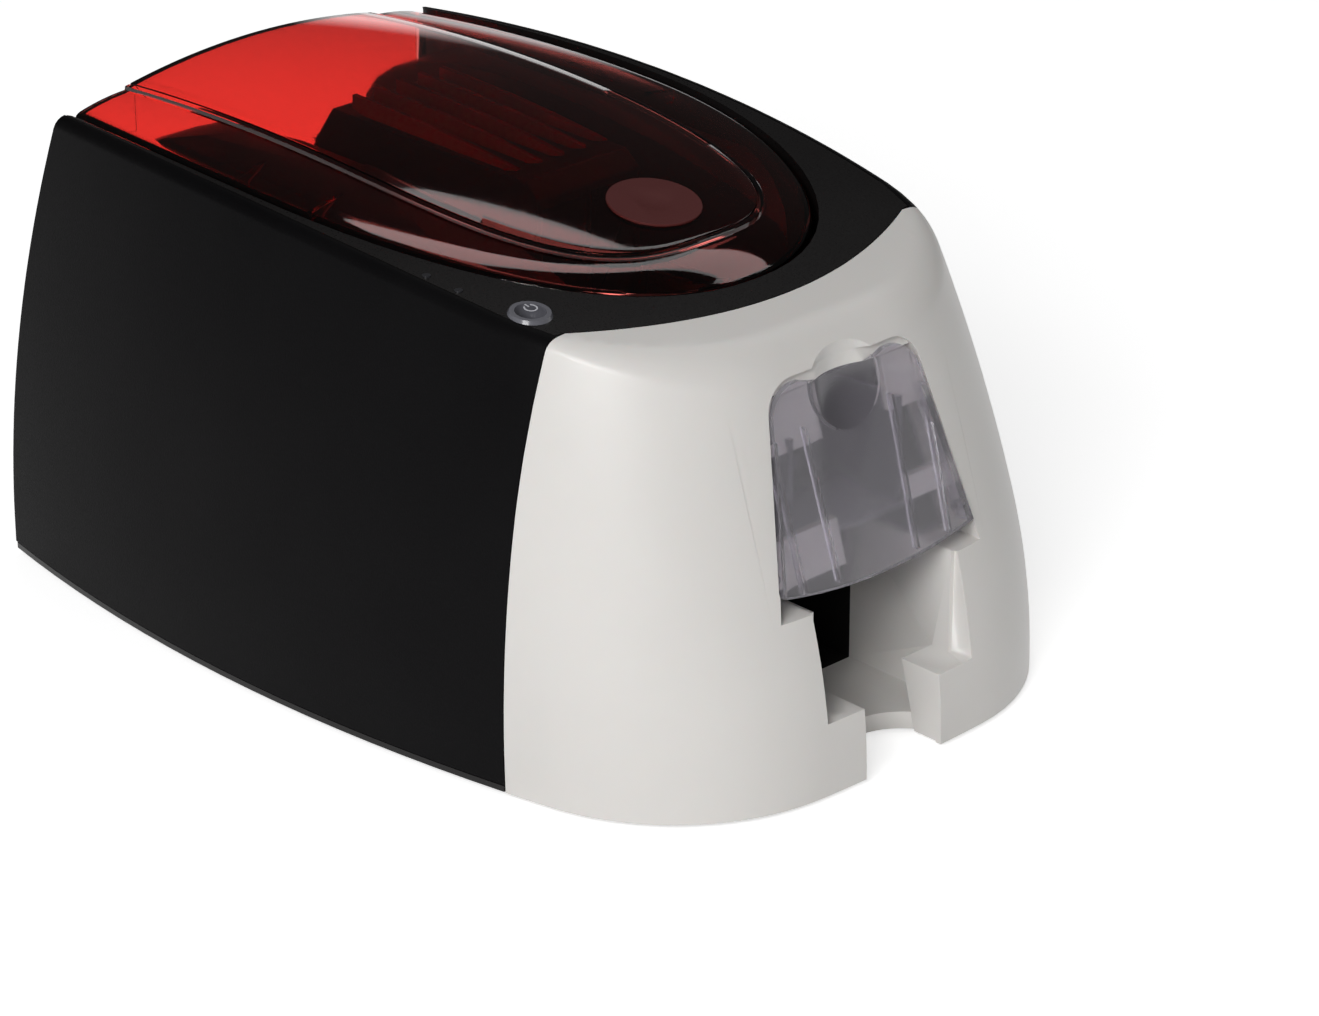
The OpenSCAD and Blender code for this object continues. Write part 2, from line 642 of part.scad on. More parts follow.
/* Rear panel and base */
rear_steps = 12;
panel_in = wall + seam_gap;
module rear_panel() color([0.13, 0.13, 0.14]) placed() {
    slab_r = top_z * top_z / (2 * rear_lean);
    horn = surf_z(0) - wall - seam_gap;
    foot = base_t + seam_gap;
    difference() {
        union() {
            difference() {
                intersection() {
                    front_extrude(-40, 10) polygon(concat(
                        [for (k = [0:rear_steps]) let (z = foot + (horn - foot) * k / rear_steps)
                            [flank_x(0, z, panel_in), z]],
                        [for (k = [rear_steps:-1:0]) let (z = foot + (horn - foot) * k / rear_steps)
                            [-flank_x(0, z, panel_in), z]]));
                    translate([0, slab_r * -1, 0]) rotate([0, 90, 0]) difference() {
                        cylinder(r = slab_r, h = 3 * half_w, center = true, $fn = 720);
                        cylinder(r = slab_r - wall, h = 3 * half_w + 10, center = true, $fn = 720);
                    }
                }
                front_extrude(-20, 20) notch();
            }
            // Hinge lugs and the strip that carries them
            translate([-lug_x - lug_w, -hinge_y - hinge_d / 2, lug_foot])
                cube([2 * lug_x + 2 * lug_w, hinge_y + hinge_d / 2 - 4.5, 2]);
            mirrored() {
                translate([lug_x, -hinge_y - hinge_d / 2, lug_foot])
                    cube([lug_w, hinge_d, hinge_z - lug_foot]);
                at(hinge_y, hinge_z) along_x(lug_x, lug_x + lug_w, hinge_d);
            }
        }
        mirrored() at(hinge_y, hinge_z) along_x(lug_x - 1, lug_x + lug_w + 1, hinge_pin_d);
        translate([inlet_x - inlet_w / 2, -20, port_z]) cube([inlet_w, 40, inlet_h]);
        translate([-usb_x - usb_w / 2, -20, port_z]) cube([usb_w, 40, usb_h]);
        for (k = [0:vent_count - 1]) translate([30 + k * vent_pitch, -20, 60]) cube([vent_w, 40, vent_h]);
    }
}
module notch() polygon([[-lid_rear_x - lid_gap, lid_wall_z - 3], [lid_rear_x + lid_gap, lid_wall_z - 3],
    [lid_rear_x + lid_gap, top_z + 33], [-lid_rear_x - lid_gap, top_z + 33]]);
lug_foot = deck_z - deck_t - 2;
seat_z = base_t + seam_gap;
module flank_plan(z, off) intersection() {
    translate(side_c) circle(r = side_r - side_lean(z) - off, $fn = 720);
    translate([-side_c[0], side_c[1]]) circle(r = side_r - side_lean(z) - off, $fn = 720);
    children();
}
module base_tray() color([0.12, 0.12, 0.13]) placed() {
    difference() {
        union() {
            linear_extrude(base_t) flank_plan(0, 0.3) translate([-200, -seam_y0 + 1])
                square([400, seam_y0 - 1.4]);
            linear_extrude(seat_z) flank_plan(0, 1.4) translate([-200, -seam_y0 + 1])
                square([400, seam_y0 - 2.4]);
        }
        at_feet() translate([0, 0, -1]) cylinder(d = foot_d, h = foot_seat + 1);
        for (k = [0:vent_count - 1]) mirrored() translate([foot_x + 4, -70 - k * 12, -1])
            cube([24, 4, 10]);
    }
    // Tongues that carry the front shell
    mirrored() translate([tray_x + tray_t, -seam_y0 - 40, 0.4])
        cube([foot_x - foot_d / 2 - 2.6 - tray_x - tray_t, 50, seat_z - 0.4]);
    // Posts under the deck and pads under the chassis
    mirrored() for (k = [0, 1]) at(post_y[k], seat_z) translate([post_x[k], 0, -1])
        cylinder(d = post_d, h = deck_z - deck_t - seat_z + 1);
    for (x = board_px) for (y = board_py) translate([-x, -y, seat_z - 1])
        cylinder(d = 5, h = board_z - seat_z + 1);
}
module at_feet() mirrored() for (y = [foot_rear, foot_front]) translate([foot_x, -y, 0]) children();
module rubber_feet() color([0.08, 0.08, 0.08]) placed() at_feet() translate([0, 0, -foot_h])
    cylinder(d = foot_d, h = foot_h + foot_seat);

/* Deck under the lid */
shoulder_x1 = lid_x - 14.5;
shoulder_x = shoulder_x1 - shoulder_x0;
shoulder_end = lid_tip - 17.5;
bay_y0 = platen_y - 95;
bay_y1 = platen_y + 80;
deck_front = bay_y1 + 8;
deck_nose = bay_y1 + 38;
deck_nose_x = flank_x(-deck_nose, deck_z, panel_in) - 6.7;
module inner_deck() color([0.1, 0.1, 0.11]) placed() difference() {
    translate([0, 0, deck_z - deck_t]) linear_extrude(deck_t) flank_plan(deck_z, panel_in + 0.3)
        difference() {
        union() {
            translate([-half_w, -deck_front]) square([2 * half_w, deck_front - 8]);
            translate([-deck_nose_x, -deck_nose]) square([2 * deck_nose_x, deck_nose - 18]);
        }
        translate([-bay_x, -bay_y1]) square([2 * bay_x, bay_y1 - bay_y0]);
        mirrored() translate([lug_x - 0.2, -hinge_y - hinge_d / 2 - 0.2]) square([lug_w + 0.4, 20]);
    }
}
// Raised covers on both sides of the bay, rounded to follow the lid, with heights from its side
lid_side_z = top_z + lid_rise - lid_x * lid_x / 660;
shoulder_line = concat([[-16, deck_z]],
    [for (p = [[-20, -26.9], [-27, -17.9], [-38, -10.4], [-52, -4.9], [-76, 0.6], [-105, 2.6]])
        [p[0], lid_side_z + p[1]]],
    [for (p = [[132, 3.4], [82, 3], [42, 1.5], [20, -2.2], [6, -11.5]]) let (y = p[0] - shoulder_end)
        [y, crown(y) - lid_x * lid_x / 660 + p[1]]],
    [[-shoulder_end, deck_z]]);
shoulder_cut = concat([[shoulder_x0, deck_z]],
    [for (p = [[0, 3.1], [0.294, 1.6], [0.588, -1.4], [0.824, -5.4], [0.941, -9.9], [1, -15.9]])
        [shoulder_x0 + shoulder_x * p[0], lid_side_z + p[1]]],
    [[shoulder_x1, deck_z]]);
module shoulder() difference() {
    intersection() {
        side_extrude(shoulder_x0, shoulder_x1) polygon(shoulder_line);
        front_extrude(-body_len, 0) polygon(shoulder_cut);
        translate([0, 0, deck_z]) linear_extrude(80) polygon(rim_points(-lid_margin, -12));
    }
    intersection() {
        side_extrude(shoulder_x0 - 1, shoulder_x1 + 1) offset(delta = -wall) union() {
            polygon(shoulder_line);
            translate([-shoulder_end, deck_z - 20]) square([shoulder_end - 16, 21]);
        }
        front_extrude(-body_len - 1, 1) offset(delta = -wall) union() {
            polygon(shoulder_cut);
            translate([shoulder_x0, deck_z - 20]) square([shoulder_x1 - shoulder_x0, 21]);
        }
        translate([0, 0, deck_z - 1]) linear_extrude(80) polygon(rim_points(-lid_margin - wall, -12));
    }
}
module left_shoulder() color([0.1, 0.1, 0.11]) placed() mirror([1, 0, 0]) shoulder();
module right_shoulder() color([0.1, 0.1, 0.11]) placed() shoulder();

/* Tray and card feeder */
liner_top = 62;
module tray_liner() color([0.09, 0.09, 0.1]) placed() {
    w = tray_x + tray_t;
    translate([-w, -tray_end + 0.01, seat_z]) cube([2 * w, tray_end - liner_end, tray_z - seat_z]);
    mirrored() translate([tray_x, -tray_end + 0.01, seat_z])
        cube([tray_t, tray_end - liner_end, cheek_z - seat_z]);
    translate([-w, -liner_end - tray_t, seat_z]) cube([2 * w, tray_t, liner_top - seat_z]);
}
guide_x = card_w / 2 + card_play;
hopper_y0 = feed_y - 42;
hopper_y1 = hopper_y0 + card_l + 1;
module hopper_frame() color([0.83, 0.82, 0.81]) placed() {
    difference() {
        union() {
            translate([-tray_x - tray_t, -hopper_y1 + 4, stack_z - hopper_t])
                cube([2 * (tray_x + tray_t), hopper_y1 - hopper_y0 - 4, hopper_t]);
            // Guides beside the card stack
            mirrored() translate([guide_x, -hopper_y1 + 5, stack_z - hopper_t])
                cube([hopper_t, hopper_y1 - hopper_y0 - 5, hopper_top - stack_z + hopper_t]);
            // Rear wall with the card slot, and the roof over the rear half
            translate([-guide_x - hopper_t, -hopper_y0 - hopper_t, stack_z + 2.5])
                cube([2 * (guide_x + hopper_t), hopper_t, hopper_top - stack_z - 2.5]);
            translate([-guide_x - hopper_t, -hopper_y0 - 35, hopper_top - hopper_t])
                cube([2 * (guide_x + hopper_t), 35, hopper_t]);
            // Feet that stand on the tray walls
            mirrored() translate([tray_x, -hopper_y1 + 7, cheek_z])
                cube([tray_t, hopper_y1 - tray_end + 30, stack_z - cheek_z]);
        }
        at(feed_y, axis_z) along_x(-plate_x, plate_x, shaft_d + 2);
        // Window for the feed roller
        translate([-rubber_x - 2, -feed_y - roll_d / 2 - 1.5, stack_z - 10])
            cube([2 * rubber_x + 4, roll_d + 3, 12]);
    }
}

/* Chassis */
plate_y0 = rear_roll_y - 70;
plate_y1 = feed_y + 12;
plate_top = deck_z - deck_t;
module side_plate() difference() {
    union() {
        side_extrude(plate_x, plate_x + plate_t)
            polygon([[-plate_y0, seat_z], [-plate_y0, plate_top], [-plate_y1, plate_top],
            [-plate_y1, 60], [-plate_y1 + 30, seat_z]]);
        // Foot flange on the base plate
        translate([plate_x, -plate_y1 + 40, seat_z]) cube([10, plate_y1 - plate_y0 - 40, 2]);
    }
    for (y = roll_ys) at(y, axis_z) along_x(plate_x - 1, plate_x + 20, shaft_d + 2 * shaft_gap);
    for (y = [supply_y, takeup_y]) at(y, spool_z) along_x(plate_x - 1, plate_x + 20,
        shaft_d + 2 * shaft_gap);
    at(motor_y, motor_z) along_x(plate_x - 1, plate_x + 20, 10);
}
idler_ys = [for (k = [0:2]) rear_roll_y + (k + 0.5) * roll_pitch];
roll_teeth = 16;
idler_teeth = 24;
pinion_teeth = 12;
spool_teeth = 20;
motor_y = idler_ys[0];
motor_z = axis_z - gear_m * (idler_teeth + pinion_teeth) / 2;
gear_x = plate_x + plate_t + 3.4;
axle_d = 5;
module left_chassis_plate() color([0.62, 0.63, 0.65]) placed() mirror([1, 0, 0]) side_plate();
module right_chassis_plate() color([0.62, 0.63, 0.65]) placed() {
    side_plate();
    // Axles of the idlers, with their end caps
    for (y = idler_ys) at(y, axis_z) {
        along_x(plate_x + plate_t - ov, gear_x + gear_w + 2, axle_d);
        along_x(gear_x + gear_w + 0.5, gear_x + gear_w + 2, axle_d + 3);
        along_x(plate_x + plate_t - ov, gear_x - 0.5, axle_d + 3);
    }
    // Spacers of the ribbon motor
    for (z = [-12.5, 12.5]) at(rmotor_y, spool_z + z) along_x(plate_x + plate_t - ov, rmotor_x, 2.6);
}
module tie_bars() color([0.7, 0.71, 0.73]) placed() {
    for (p = [[plate_y0 + 10, 20], [plate_y0 + 10, 110], [plate_y1 - 62, 20], [bar_y0, bar_z],
        [bar_y1, bar_z]]) 
        at(p[0], p[1]) along_x(-plate_x, plate_x, tie_d);
}
bar_y0 = platen_y - 40;
bar_y1 = platen_y + 40;
bar_z = axis_z + roll_d / 2 + 5.5;
film_r = tie_d / 2 + 0.06;
rubber_x = 25.5;
rail_z = axis_z + roll_d / 2;
rail_y1 = platen_y + 72;
rail_len = 160;
module card_rails() color([0.14, 0.14, 0.15]) placed() mirrored() difference() {
    union() {
        translate([guide_x + 0.6, -rail_y1, rail_z - 2.6]) cube([plate_x - guide_x - 0.6, rail_len, 6]);
        translate([rubber_x + 1, -rail_y1, rail_z - 2.6]) cube([guide_x - rubber_x, rail_len, 2.3]);
    }
    for (y = [bar_y0, bar_y1]) at(y, bar_z) along_x(0, plate_x + 1, tie_d + 1.4);
}

/* Motors, board and sockets */
rmotor_y = takeup_y + gear_m * (spool_teeth + pinion_teeth) / 2;
rgear_x = gear_x + gear_w + 3;
rmotor_x = rgear_x + gear_w + 1.5;
module drive_motor() color([0.55, 0.56, 0.58]) placed() at(motor_y, motor_z) difference() {
    union() {
        along_x(plate_x - motor_l, plate_x, motor_d);
        along_x(plate_x - motor_l - 2, plate_x - motor_l, motor_d / 3 + 0.6);
    }
    along_x(plate_x - 12, plate_x + 1, 4);
}
module ribbon_motor() color([0.55, 0.56, 0.58]) placed() at(rmotor_y, spool_z) difference() {
    union() {
        along_x(rmotor_x, rmotor_x + rmotor_l, rmotor_d);
        along_x(rmotor_x + rmotor_l, rmotor_x + rmotor_l + 2, rmotor_d / 3 + 0.6);
    }
    along_x(rmotor_x - 1, rmotor_x + 10, 4);
}
post_y = [50, platen_y + 10];
post_x = [lid_x - 9, lid_half(-post_y[1], lid_gap) - screw_d / 2 - 2.5];
post_d = 8;
board_t = 1.6;
board_x = 57;
board_y = 60;
board_px = [board_x + 3, board_x + board_w - 4];
board_py = [board_y + 6, board_y + board_l - 6];
module main_board() color([0.05, 0.3, 0.14]) placed() {
    translate([-board_x - board_w, -board_y - board_l, board_z]) {
        cube([board_w, board_l, board_t]);
        // Chips, plug strip and capacitors
        translate([8, 40, board_t]) cube([16, 16, 2]);
        translate([14, 70, board_t]) cube([9, 14, 1.6]);
        translate([6, 90, board_t]) cube([7, 24, 8]);
        for (y = [14, 25, 106]) translate([22, y, board_t]) cylinder(d = 8, h = 11);
    }
}
psu_x = 64;
psu_y = 55;
module power_supply() color([0.6, 0.61, 0.63]) placed() difference() {
    translate([psu_x, -psu_y - psu_l, seat_z]) cube([psu_w, psu_l, psu_h]);
    // Vents through the flanks of the case
    for (k = [0:7]) translate([psu_x - 2, 12 + k * 14 - psu_y - psu_l, seat_z + psu_h - 6])
        cube([psu_w + 4, 6, 2.5]);
}
module power_inlet() color([0.06, 0.06, 0.06]) placed() translate([inlet_x, 0, port_z]) {
    difference() {
        translate([-inlet_w / 2, -26, 0]) cube([inlet_w, 25.6, inlet_h]);
        translate([-inlet_w / 2 + 2, -17, 2]) cube([inlet_w - 4, 20, inlet_h - 4]);
    }
    for (x = [-7, 0, 7]) translate([x - 1, -19, inlet_h / 2 - (x == 0 ? -1 : 3)]) cube([2, 13, 4]);
}
module usb_socket() color([0.7, 0.7, 0.72]) placed() translate([-usb_x, 0, port_z]) {
    difference() {
        translate([-usb_w / 2, -17, 0]) cube([usb_w, 16.6, usb_h]);
        translate([-usb_w / 2 + 1, -11, 1]) cube([usb_w - 2, 20, usb_h - 2]);
    }
    translate([-3, -13, usb_h / 2 - 1.6]) cube([6, 9, 3.2]);
}
module frame_screws() color([0.75, 0.75, 0.77]) placed() mirrored() for (k = [0, 1])
    at(post_y[k], deck_z) translate([post_x[k], 0, 0]) difference() {
        cylinder(d = screw_d, h = 2.2);
        translate([0, 0, 1]) cube([4, 1, 3], center = true);
        translate([0, 0, 1]) cube([1, 4, 3], center = true);
    }
module hinge_pins() color([0.75, 0.75, 0.77]) placed() mirrored() at(hinge_y, hinge_z)
    along_x(knuckle_x + 2, lug_x + lug_w, hinge_pin_d);

/* Power button and lenses */
ring_in = button_d + 2 * button_gap;
ring_t = 0.8;
module button_ring() color([0.45, 0.45, 0.48]) placed() at_button() difference() {
    union() {
        translate([0, 0, 0.05]) cylinder(d1 = ring_d, d2 = ring_d - 1.4, h = 1.4);
        translate([0, 0, -10]) cylinder(d = ring_in + 2 * ring_t, h = 10.6);
    }
    translate([0, 0, -8.5]) cylinder(d = ring_in, h = 12);
}
module power_button() color([0.6, 0.6, 0.63]) placed() at_button() translate([0, 0, -2.6]) {
    cylinder(d = button_d, h = 4.8);
    translate([0, 0, 4.8]) cylinder(d1 = button_d, d2 = button_d - 1.4, h = 0.6);
}
spring_top = -2.6 - button_travel - 1.1;
module button_spring() color([0.75, 0.75, 0.77]) placed() at_button() translate([0, 0, spring_top - 3.6])
    for (k = [0:2]) translate([0, 0, k * 1.3]) difference() {
        cylinder(d = 8, h = k == 2 ? 1 : 1.4);
        translate([0, 0, -1]) cylinder(d = 6.2, h = 4);
    }
module indicator_lenses() color([0.7, 0.72, 0.7]) placed() for (k = [0, 1]) at_lens(k)
    translate([0, 0, -2.6])
    cylinder(d = lens_d, h = 3);
module ribbon_sensor() color([0.07, 0.07, 0.08]) placed() {
    translate([-plate_x, -platen_y - 24, rail_z + 3.4]) cube([12, 10, 6]);
}

/* Lid */
function crown(y) = top_z + lid_rise - pow(y + 103, 2) / 1716;
function panel_z(x, y) = crown(y) - x * x / 660;
function edge_z(y) = surf_z(y) - lid_sink;
ridge_x = panel_share * lid_x;
ridge_nose = lid_nose - 24;
lid_side = 8;
lid_front = 16;
lid_last = lid_side + lid_front;
function toward(a, b, d) = a + (b - a) * (d / max(0.01, norm(b - a)));
// Half section k of the lid, from its edge to the middle, set in by t
function lid_half_row(k, t) = let (
        side = k < lid_side,
        v = 90 * (k - lid_side) / lid_front,
        c = k == lid_last ? 0 : cos(v),
        q = sin(v),
        y = -lid_rear + (-lid_mid + lid_rear) * k / lid_side,
        e = side ? [lid_half(y, 0), y]
            : [lid_x * pow(c, 2 / lid_n), -lid_mid - lid_nose * pow(q, 2 / lid_n)],
        r = side ? [ridge_x - 3 * pow((y + lid_mid) / (lid_mid - lid_rear), 2), y]
            : [ridge_x * pow(c, 2 / 3.4), -lid_mid - ridge_nose * pow(q, 2 / 3.4)],
        m = [0, side ? y : -lid_mid - 0.72 * lid_nose * pow(q, 1.1)],
        f = toward(r, e, 3.4),
        z0 = edge_z(e[1]),
        z1 = panel_z(f[0], f[1]) - panel_step,
        h = (e + f) / 2,
        b = (r + m) / 2,
        p0 = toward(e, f, t),
        p2 = toward(e, f, 0.7 + t),
        p3 = toward(e, f, 2.6 + t))
    [[p0[0], p0[1], z0 - lid_skirt], [p0[0], p0[1], z0 - t * 0.4], [p2[0], p2[1], z0 + 1.4 - t],
        [p3[0], p3[1], z0 + 2.4 - t], [h[0], h[1], z0 + (z1 - z0) * 0.6 - t], [f[0], f[1], z1 - t],
        [r[0], r[1], panel_z(r[0], r[1]) - t], [b[0], b[1], panel_z(b[0], b[1]) - t],
            [m[0], m[1], crown(m[1]) - t]];
lid_half_n = 9;
function lid_row(k, t) = let (h = lid_half_row(k, t))
    concat(h, [for (i = [lid_half_n - 2:-1:0]) [-h[i][0], h[i][1], h[i][2]]]);
knuckle_x = lug_x - hinge_play - 12;
module lid_wall_outline() {
    row = lid_row(0, 0);
    polygon(concat([for (p = row) [p[0] * 0.995, p[2] - 1]],
        [[-row[0][0] * 0.995, lid_wall_z], [row[0][0] * 0.995, lid_wall_z]]));
}
module lid() color([0.45, 0.03, 0.04, 0.55]) placed() difference() {
    union() {
        sheet([for (k = [0:lid_last]) lid_row(k, 0)], [for (k = [0:lid_last]) lid_row(k, lid_t)], true);
        difference() {
            front_extrude(-lid_rear - lid_t, -lid_rear) lid_wall_outline();
            mirrored() translate([lug_x - hinge_play, -20, 130])
                cube([lug_w + 2 * hinge_play, 40, hinge_z - 130 + 6]);
        }
        // Raised middle field of the rear wall
        translate([-ridge_x + 4, -lid_rear - 1, 153]) cube([2 * ridge_x - 8, 1.6, 32]);
        // Hinge knuckles
        mirrored() at(hinge_y, hinge_z) along_x(knuckle_x, lug_x - hinge_play, hinge_d);
        // Ribs under the middle of the lid
        for (k = [0:lid_ribs - 1]) let (x = (k - (lid_ribs - 1) / 2) * lid_rib_pitch)
            side_extrude(x - lid_rib_t / 2, x + lid_rib_t / 2)
            polygon(concat([[-rib_y0, rib_z], [-rib_y1, rib_z]],
                [for (j = [4:-1:0]) let (y = -rib_y0 - (rib_y1 - rib_y0) * j / 4)
                [y, panel_z(x, y) - 1.2]]));
        // Gussets in the flanks
        mirrored() for (y = [-115, -160]) front_extrude(y - 1, y + 1)
            polygon([[lid_x - 20.5, top_z + 1.2], [lid_x - 2.9, top_z - 3],
            [lid_x - 2.9, top_z - 7], [lid_x - 8.5, top_z - 7]]);
    }
    mirrored() at(hinge_y, hinge_z) along_x(knuckle_x - 1, lug_x, hinge_pin_d + 2 * shaft_gap);
    at_disc() translate([0, 0, -0.7]) cylinder(d = disc_d, h = 5, $fn = 96);
}
module at_disc() translate([0, -disc_y, crown(-disc_y)]) rotate([atan((disc_y - 103) / 858), 0, 0])
    children();
module thumb_disc() color([0.3, 0.05, 0.06]) placed() at_disc() difference() {
    translate([0, 0, -0.7]) cylinder(d = disc_d, h = disc_t, $fn = 96);
    translate([0, 0, disc_t - 0.7 + 60 - 0.5]) sphere(r = 60, $fn = 96);
}
head_top = rib_z;
head_y0 = platen_y - head_d;
head_y1 = platen_y + head_d;
head_front = platen_y + head_set;
module head_carrier() color([0.09, 0.09, 0.1]) placed() {
    difference() {
        union() {
            side_extrude(-head_w / 2, head_w / 2)
                polygon([for (p = [[120, head_top], [8, head_top], [0, head_top - 6], [0, 122],
                [44, 122], [47, 146], [140, 158], [140, 167], [130, 176]]) [p[0] - head_front, p[1]]]);
            side_extrude(-head_w / 2 - 4, head_w / 2 + 4)
                polygon([for (p = [[0, 140], [0, 116], [10, head_z + 8], [34, head_z + 8],
                [44, 116], [44, 140]]) [p[0] - head_front, p[1]]]);
        }
        // Hollow with cross ribs, open towards the front
        mirrored() side_extrude(2, head_w / 2 - 3)
            polygon([for (p = [[-8, head_top - 12], [-8, 128], [36, 128], [36, 152], [92, 164],
            [92, head_top - 8], [8, head_top - 8]]) [p[0] - head_front, p[1]]]);
    }
}
head_z = rail_z + 1.4;
module print_head() color([0.75, 0.7, 0.55]) placed() {
    translate([-head_w / 2 - 1, -head_y1, head_z + 4]) cube([head_w + 2, head_y1 - head_y0, 4]);
    side_extrude(-head_w / 2, head_w / 2)
        polygon([[-platen_y - 5, head_z + 4], [-platen_y - 1.5, head_z], [-platen_y + 1.5, head_z],
        [-platen_y + 7, head_z + 4]]);
}
module heat_sink() color([0.72, 0.73, 0.75]) placed() {
    translate([-24, -head_front - 2, 118]) cube([48, 2, 9]);
    for (k = [0:7]) translate([-24 + k * 6.5, -head_front - 7, 118]) cube([2.5, 5 + ov, 9]);
}
module carrier_screws() color([0.75, 0.75, 0.77]) placed() mirrored()
    translate([head_w / 3, 135 - head_front, 171.5]) rotate([-42, 0, 0])
    cylinder(d = 6, h = 2.4);

/* Rollers, spools and gears */
module gear_shape(teeth, turn) {
    r = gear_m * teeth / 2;
    root = r - 1.9;
    tip = r + 1.15;
    rotate(turn) union() {
        circle(r = root, $fn = teeth * 4);
        for (k = [0:teeth - 1]) rotate(k * 360 / teeth)
            polygon([[root - 0.4, -1.35], [r, -0.9], [tip, -0.45], [tip, 0.45], [r, 0.9],
                [root - 0.4, 1.35]]);
    }
}
// A gear on an axis across the body, its teeth turned by an angle from the length direction
module gear(x, teeth, turn, bore) translate([x, 0, 0]) rotate([90, 0, 90]) linear_extrude(gear_w)
    difference() {
    gear_shape(teeth, turn);
    circle(d = bore);
}
module roller(y) at(y, axis_z) {
    along_x(-plate_x - 4, gear_x + gear_w + 0.6, shaft_d);
    mirrored() along_x(plate_x - 2.6, plate_x - 0.6, shaft_d + 4);
    along_x(-rubber_x, rubber_x, roll_d, 96);
}
module platen_roller() color([0.1, 0.1, 0.1]) placed() roller(platen_y);
module rear_roller() color([0.25, 0.25, 0.26]) placed() roller(rear_roll_y);
module front_roller() color([0.25, 0.25, 0.26]) placed() roller(drive_y);
module feed_roller() color([0.3, 0.28, 0.25]) placed() roller(feed_y);
module roll_gear(y) color([0.9, 0.9, 0.87]) placed() at(y, axis_z) gear(gear_x, roll_teeth, 0, shaft_d);
module rear_gear() roll_gear(rear_roll_y);
module platen_gear() roll_gear(platen_y);
module front_gear() roll_gear(drive_y);
module feed_gear() roll_gear(feed_y);
module idler(y) color([0.85, 0.85, 0.82]) placed() at(y, axis_z) gear(gear_x, idler_teeth, 7.5,
    axle_d + 2 * shaft_gap);
module rear_idler() idler(idler_ys[0]);
module middle_idler() idler(idler_ys[1]);
module front_idler() idler(idler_ys[2]);
module motor_pinion() color([0.8, 0.7, 0.35]) placed() at(motor_y, motor_z) {
    gear(gear_x, pinion_teeth, 0, 2);
    along_x(plate_x - 10, gear_x + gear_w, 3);
}
module spool(y) at(y, spool_z) difference() {
    union() {
        along_x(-ribbon_w / 2 - 1, ribbon_w / 2 + 1, core_d);
        mirrored() along_x(ribbon_w / 2 + 0.2, ribbon_w / 2 + 2.2, flange_d, 96);
    }
    along_x(-ribbon_w, ribbon_w, core_d - 5);
}
module hubs(y, x) at(y, spool_z) {
    mirrored() {
        along_x(ribbon_w / 2 - 5, ribbon_w / 2 + 4, core_d - 5);
        along_x(ribbon_w / 2 + 2.3, plate_x - 0.6, core_d - 1);
    }
    along_x(-plate_x - 4, -plate_x + 1, shaft_d);
    along_x(plate_x - 1, x, shaft_d);
}
module roll(y, d) at(y, spool_z) difference() {
    along_x(-ribbon_w / 2, ribbon_w / 2, d, 96);
    along_x(-ribbon_w, ribbon_w, core_d);
}
module supply_spool() color([0.85, 0.85, 0.83]) placed() spool(supply_y);
module supply_ribbon() color([0.1, 0.12, 0.3]) placed() roll(supply_y, supply_d);
module supply_hubs() color([0.2, 0.2, 0.22]) placed() hubs(supply_y, plate_x + 4);
module takeup_spool() color([0.85, 0.85, 0.83]) placed() spool(takeup_y);
module takeup_ribbon() color([0.12, 0.08, 0.12]) placed() roll(takeup_y, takeup_d);
module takeup_hubs() color([0.2, 0.2, 0.22]) placed() hubs(takeup_y, rgear_x + gear_w);
module spool_gear() color([0.9, 0.9, 0.87]) placed() at(takeup_y, spool_z)
    gear(rgear_x, spool_teeth, 0, shaft_d);
module ribbon_pinion() color([0.8, 0.7, 0.35]) placed() at(rmotor_y, spool_z) {
    gear(rgear_x, pinion_teeth, 15, 2);
    along_x(rgear_x, rmotor_x + 8, 3);
}
// The film runs from the supply roll under two bars and the head to the take-up roll
function on_bar(y, a) = [-y + film_r * sin(a), bar_z - film_r * cos(a)];
module ribbon_web() color([0.15, 0.12, 0.25, 0.7]) placed() {
    line = concat([[-supply_y - 12.7, spool_z - 12.9]], [for (a = [42, 22, 3]) on_bar(bar_y0, a)],
        [[-platen_y + 12, rail_z + 0.9], [-platen_y - 12, rail_z + 0.9]],
        [for (a = [-3, -24, -46, -68]) on_bar(bar_y1, a)], [[-takeup_y + 6.6, spool_z - 10.4]]);
    side_extrude(-ribbon_w / 2 + 1, ribbon_w / 2 - 1)
        polygon(concat(line, [for (i = [len(line) - 1:-1:0]) line[i] - [0, film_t]]));
}

button_x = flank_x(-button_y, surf_z(-button_y), edge_r) - button_in;
module at_button() translate([-button_x, -button_y, surf_z(-button_y)])
    rotate([atan((button_y - top_apex) / top_r), 0, 0]) children();
module at_lens(k) {
    y = -lens_y - k * lens_pitch;
    translate([lens_in - flank_x(y, surf_z(y), edge_r), y, surf_z(y)]) children();
}

base_tray();
rubber_feet();
left_side_panel();
right_side_panel();
rear_panel();
front_shell();
top_frame();
inner_deck();
left_shoulder();
right_shoulder();
tray_liner();
hopper_frame();
left_chassis_plate();
right_chassis_plate();
tie_bars();
card_rails();
main_board();
power_supply();
power_inlet();
usb_socket();
drive_motor();
ribbon_motor();
frame_screws();
hinge_pins();
button_ring();
button_spring();
indicator_lenses();
ribbon_sensor();
ribbon_web();
lid();
thumb_disc();
head_carrier();
heat_sink();
print_head();
carrier_screws();
feeder_cover();
power_button();
supply_spool();
supply_ribbon();
supply_hubs();
takeup_spool();
takeup_ribbon();
takeup_hubs();
spool_gear();
ribbon_pinion();
platen_roller();
rear_roller();
front_roller();
feed_roller();
rear_gear();
platen_gear();
front_gear();
feed_gear();
rear_idler();
middle_idler();
front_idler();
motor_pinion();
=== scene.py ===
"""A desktop card printer with a hinged see-through lid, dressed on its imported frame."""
import json
import math

